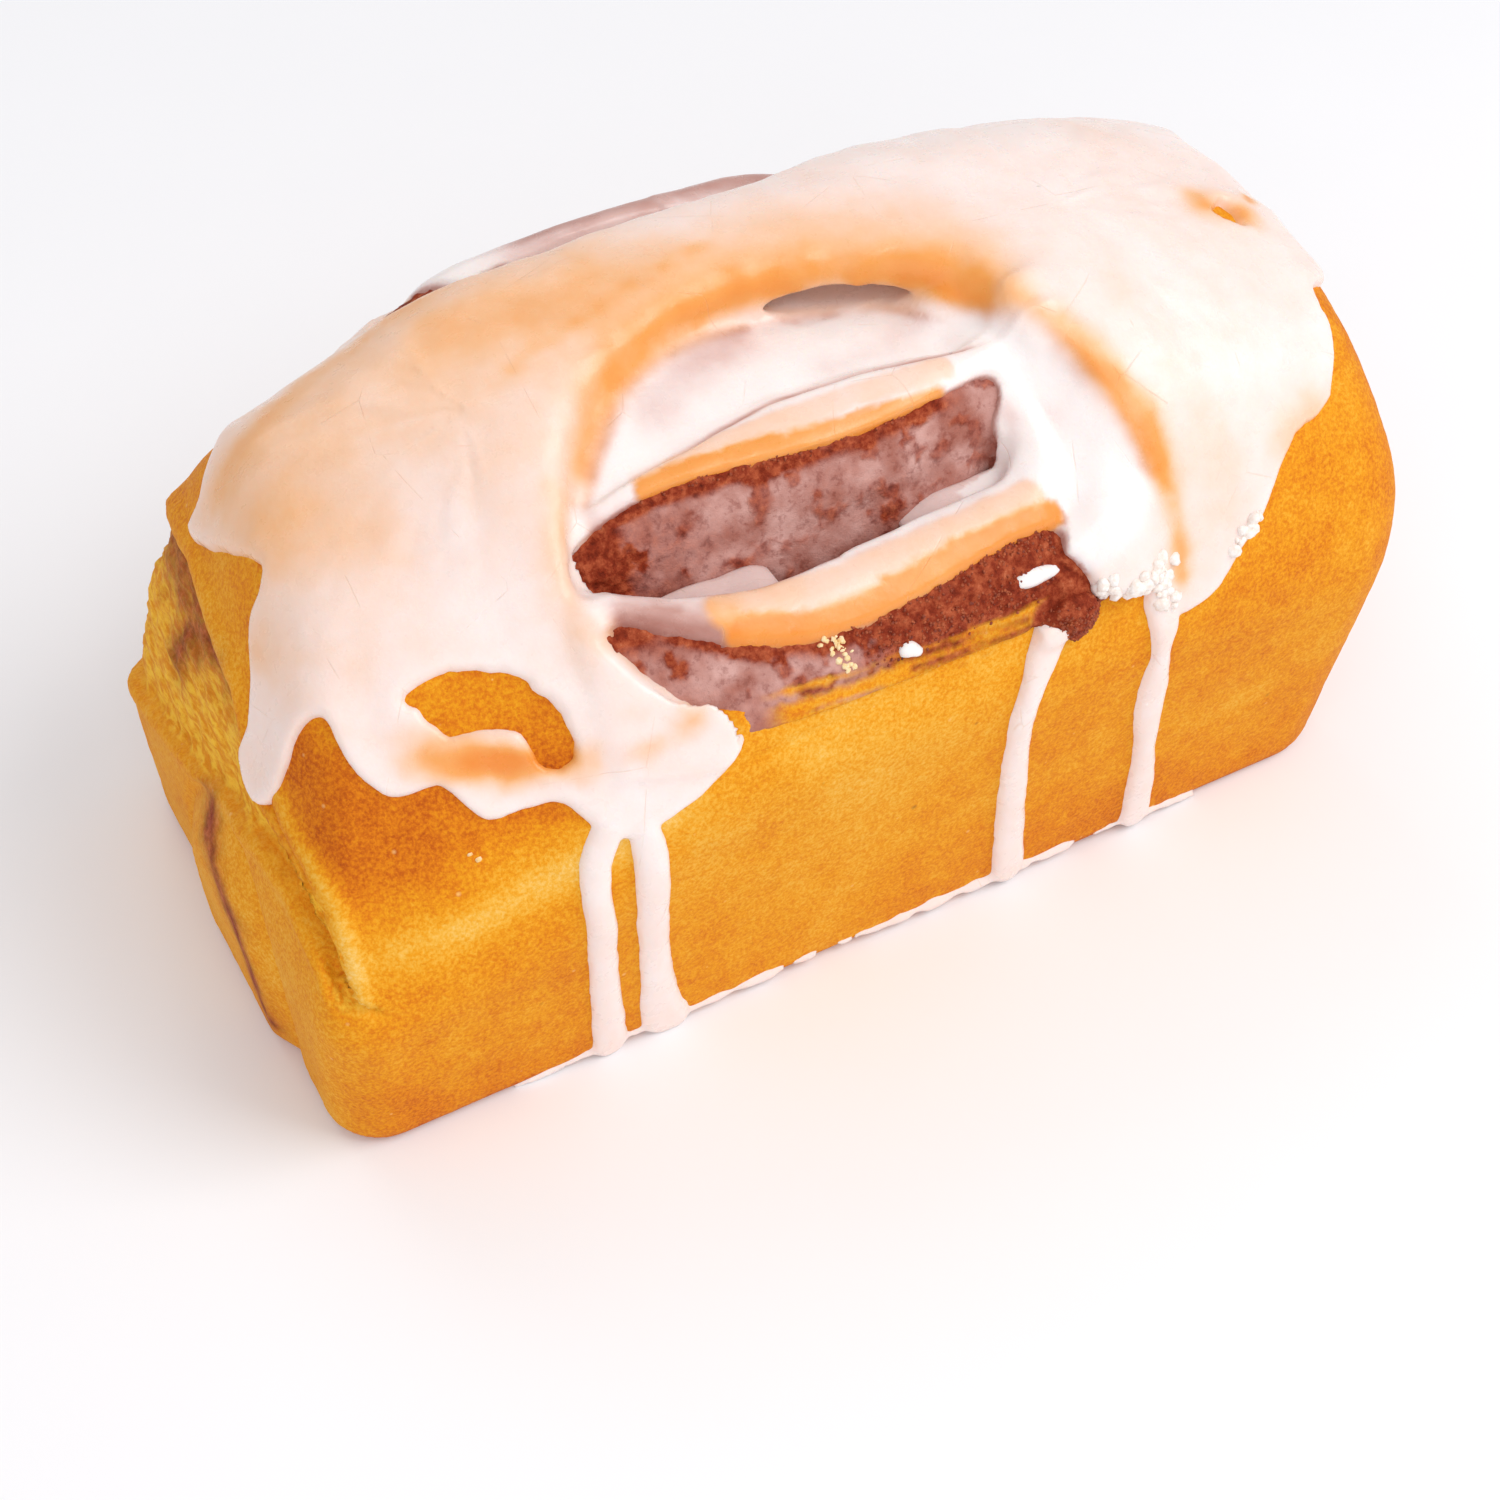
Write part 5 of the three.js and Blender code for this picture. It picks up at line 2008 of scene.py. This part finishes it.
RIM_CRUMBS: Sequence[Stroke] = (
    Stroke(((34, -53.5, 73.5), (38, -53.5, 72.6), (42, -53.4, 72.4), (46.5, -53, 73.4),
            (48.5, -53.6, 71.5)), 1.5),
    Stroke(((47, -53.5, 71), (46.5, -55.6, 66.5), (48.5, -55.8, 65.5)), 1.2, 0.8),
    Stroke(((63, -52.8, 70.5), (66, -52, 72.8), (68, -51.2, 74)), 0.9, 0.9),
    Stroke(((71, -51.8, 73), (73, -51, 75)), 1.0, 0.7),
    Stroke(((31, -54.5, 66.5), (34, -54.8, 67)), 0.7, 0.5),
)
FLAKE_MARKS: Sequence[Stroke] = (
    Stroke(((-16, -46.3, 80.8), (-14.5, -48, 78.6), (-13.5, -50, 76)), 1.5),
    Stroke(((88, -48.6, 70.5), (85, -49.3, 69)), 1.0, 0.5),
)
CRUST_FLECKS: Sequence[Stroke] = (
    Stroke(((-84, -44.5, 61), (-82, -45.5, 60.5)), 1.3, 0.5),
    Stroke(((-78, -46, 60), (-77, -46.5, 59)), 0.8, 0.5),
)
CREST_GRAINS: Sequence[Stroke] = (
    Stroke(((-36, -23, 98.3), (-28, -23.3, 98.8), (-16, -25, 99), (0, -25.2, 99.2), (12, -25, 99.2)),
           1.0, 0.7),
    Stroke(((-10, -47.2, 80), (3, -46.6, 81.4), (19, -45.6, 83), (27, -46, 82)), 2.2, 0.8),
    Stroke(((-6, -50.5, 76.5), (8, -50, 77), (22, -49.5, 77.5)), 3.2, 0.5),
    Stroke(((26, -55.5, 70.5), (28.5, -56, 70), (31, -55.5, 69.5)), 3.0),
)


# ---- stage, light and camera


@dataclass(frozen=True)
class Lamp:
    """A soft square light that faces the loaf.

    Attributes:
        name: Its name.
        place: Where it hangs, in metres.
        size: Length of its side in metres.
        watts: Its power.
        tone: Its colour.
        aim: The place it faces, in metres.
    """

    name: str
    place: tuple[float, float, float]
    size: float
    watts: float
    tone: Colour
    aim: tuple[float, float, float] = (0.0, 0.0, 0.06)

    def build(self) -> None:
        """Adds the light to the scene."""
        data = bpy.data.lights.new(self.name, "AREA")
        data.size = self.size
        data.energy = self.watts
        data.color = self.tone
        lamp = bpy.data.objects.new(self.name, data)
        lamp.location = self.place
        towards = Vector(self.aim) - Vector(self.place)
        lamp.rotation_euler = towards.to_track_quat("-Z", "Y").to_euler()
        bpy.context.scene.collection.objects.link(lamp)


@dataclass(frozen=True)
class Studio:
    """A plain pale table, soft light and the camera.

    Attributes:
        lens: Focal length in millimetres on a 36 mm sensor.
        distance: From the middle of the base to the camera, in millimetres.
        down: How far the camera looks down, in degrees.
        turn: How far the view is turned from +Y towards +X, in degrees.
        roll: How far the camera is rolled, in degrees.
        lamps: The lights.
        sky: Colour of the surroundings.
        sky_strength: Brightness of the surroundings.
        half_table: Half the table's side in metres.
    """

    lens: float = 57.6
    distance: float = 469.75
    down: float = 47.5186
    turn: float = 31.129
    roll: float = 2.5604
    lamps: Sequence[Lamp] = (
        Lamp("key", (0.55, -0.45, 0.85), 0.7, 6.4, (1.0, 0.985, 0.965)),
        Lamp("fill", (-0.5, -0.7, 0.55), 0.9, 3.0, (0.97, 0.98, 1.0)),
        Lamp("back", (-0.1, 0.8, 0.8), 0.7, 2.0, (1.0, 1.0, 1.0)),
    )
    sky: Colour = (1.0, 0.99, 0.99)
    sky_strength: float = 0.56
    half_table: float = 2.5

    def camera(self) -> None:
        """Places the camera so that it looks at the middle of the base."""
        down, turn, roll = (math.radians(a) for a in (self.down, self.turn, self.roll))
        ahead = Vector((math.sin(turn) * math.cos(down), math.cos(turn) * math.cos(down), -math.sin(down)))
        level = Vector((math.cos(turn), -math.sin(turn), 0.0))
        above = level.cross(ahead)
        right = level * math.cos(roll) + above * math.sin(roll)
        up = above * math.cos(roll) - level * math.sin(roll)
        data = bpy.data.cameras.new("camera")
        data.lens = self.lens
        data.sensor_width = 36.0
        data.clip_start = 0.01
        camera = bpy.data.objects.new("camera", data)
        turned = Matrix((right, up, -ahead)).transposed().to_4x4()
        camera.matrix_world = Matrix.Translation(-ahead * self.distance * MM) @ turned
        bpy.context.scene.collection.objects.link(camera)
        bpy.context.scene.camera = camera

    def build(self) -> bpy.types.Object:
        """Sets up the table, the lights, the surroundings and the camera.

        Returns:
            The table, which isn't part of the loaf.
        """
        scene = bpy.context.scene
        scene.view_settings.view_transform = "Standard"
        world = bpy.data.worlds.new("studio")
        world.use_nodes = True
        background = world.node_tree.nodes["Background"].inputs
        background["Color"].default_value = (*self.sky, 1.0)
        background["Strength"].default_value = self.sky_strength
        scene.world = world
        for lamp in self.lamps:
            lamp.build()
        self.camera()
        half = self.half_table
        corners = np.array([(-half, -half, 0), (half, -half, 0), (half, half, 0), (-half, half, 0)]) / MM
        table = add_object("table", corners, np.array([[0, 1, 2, 3]]))
        table.data.materials.append(TableFinish().material())
        return table


# ---- putting it together


class Slot(Enum):
    """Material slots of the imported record."""

    BREAD = "baked_bread"
    GLAZE = "sugar_glaze"


def hand_over(piece: bpy.types.Object, nodes: Sequence[str]) -> None:
    """Fixes a finished piece to the frame.

    Args:
        piece: The piece.
        nodes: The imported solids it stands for.
    """
    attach(piece, "root")
    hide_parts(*nodes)
    log.info("%s: %d faces, stands for %s", piece.name, len(piece.data.polygons), ", ".join(nodes))


def main() -> None:
    """Builds the loaf piece by piece, then its setting."""
    logging.basicConfig(level=logging.INFO, format="%(name)s: %(message)s")
    effects = Effects.build()
    bread = BreadFinish().material(effects)
    icing = GlazeFinish().material(effects)
    loaf = Loaf()
    glaze = GlazeMap.build(Chart(), loaf)
    icing_nodes = sorted(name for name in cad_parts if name.startswith("icing"))
    crust = Crust(loaf, glaze).build(bread)
    rolls = Rolls(loaf).build(bread)
    coat = Glaze(loaf, glaze).build(icing)
    white = CrumbFinish("icing crumbs", (0.95, 0.92, 0.90), (0.86, 0.74, 0.66)).material(effects)
    golden = CrumbFinish("crust flakes", (0.96, 0.80, 0.52), (0.90, 0.58, 0.22)).material(effects)
    brown = CrumbFinish("cinnamon grains", (0.46, 0.10, 0.03), (0.16, 0.015, 0.004)).material(effects)
    crumbs = Grains("icing_crumbs", RIM_CRUMBS, 1.6, (0.6, 3.0), 0.8, 51, detail=2).build(coat, white)
    flakes = Grains("crust_flakes", FLAKE_MARKS, 4.0, (0.35, 1.5), 0.4, 52).build(rolls, golden)
    flecks = Grains("crust_flecks", CRUST_FLECKS, 1.2, (0.4, 1.2), 0.45, 53).build(crust, golden)
    grains = Grains("cinnamon_grains", CREST_GRAINS, 3.0, (0.25, 0.75), 0.8, 54).build(rolls, brown)
    for piece in (crust, rolls, flakes, flecks, grains):
        hand_over(piece, ["loaf"])
    hand_over(coat, icing_nodes)
    hand_over(crumbs, ["icing_sheet"])
    Studio().build()


if __name__ == "__main__":
    main()
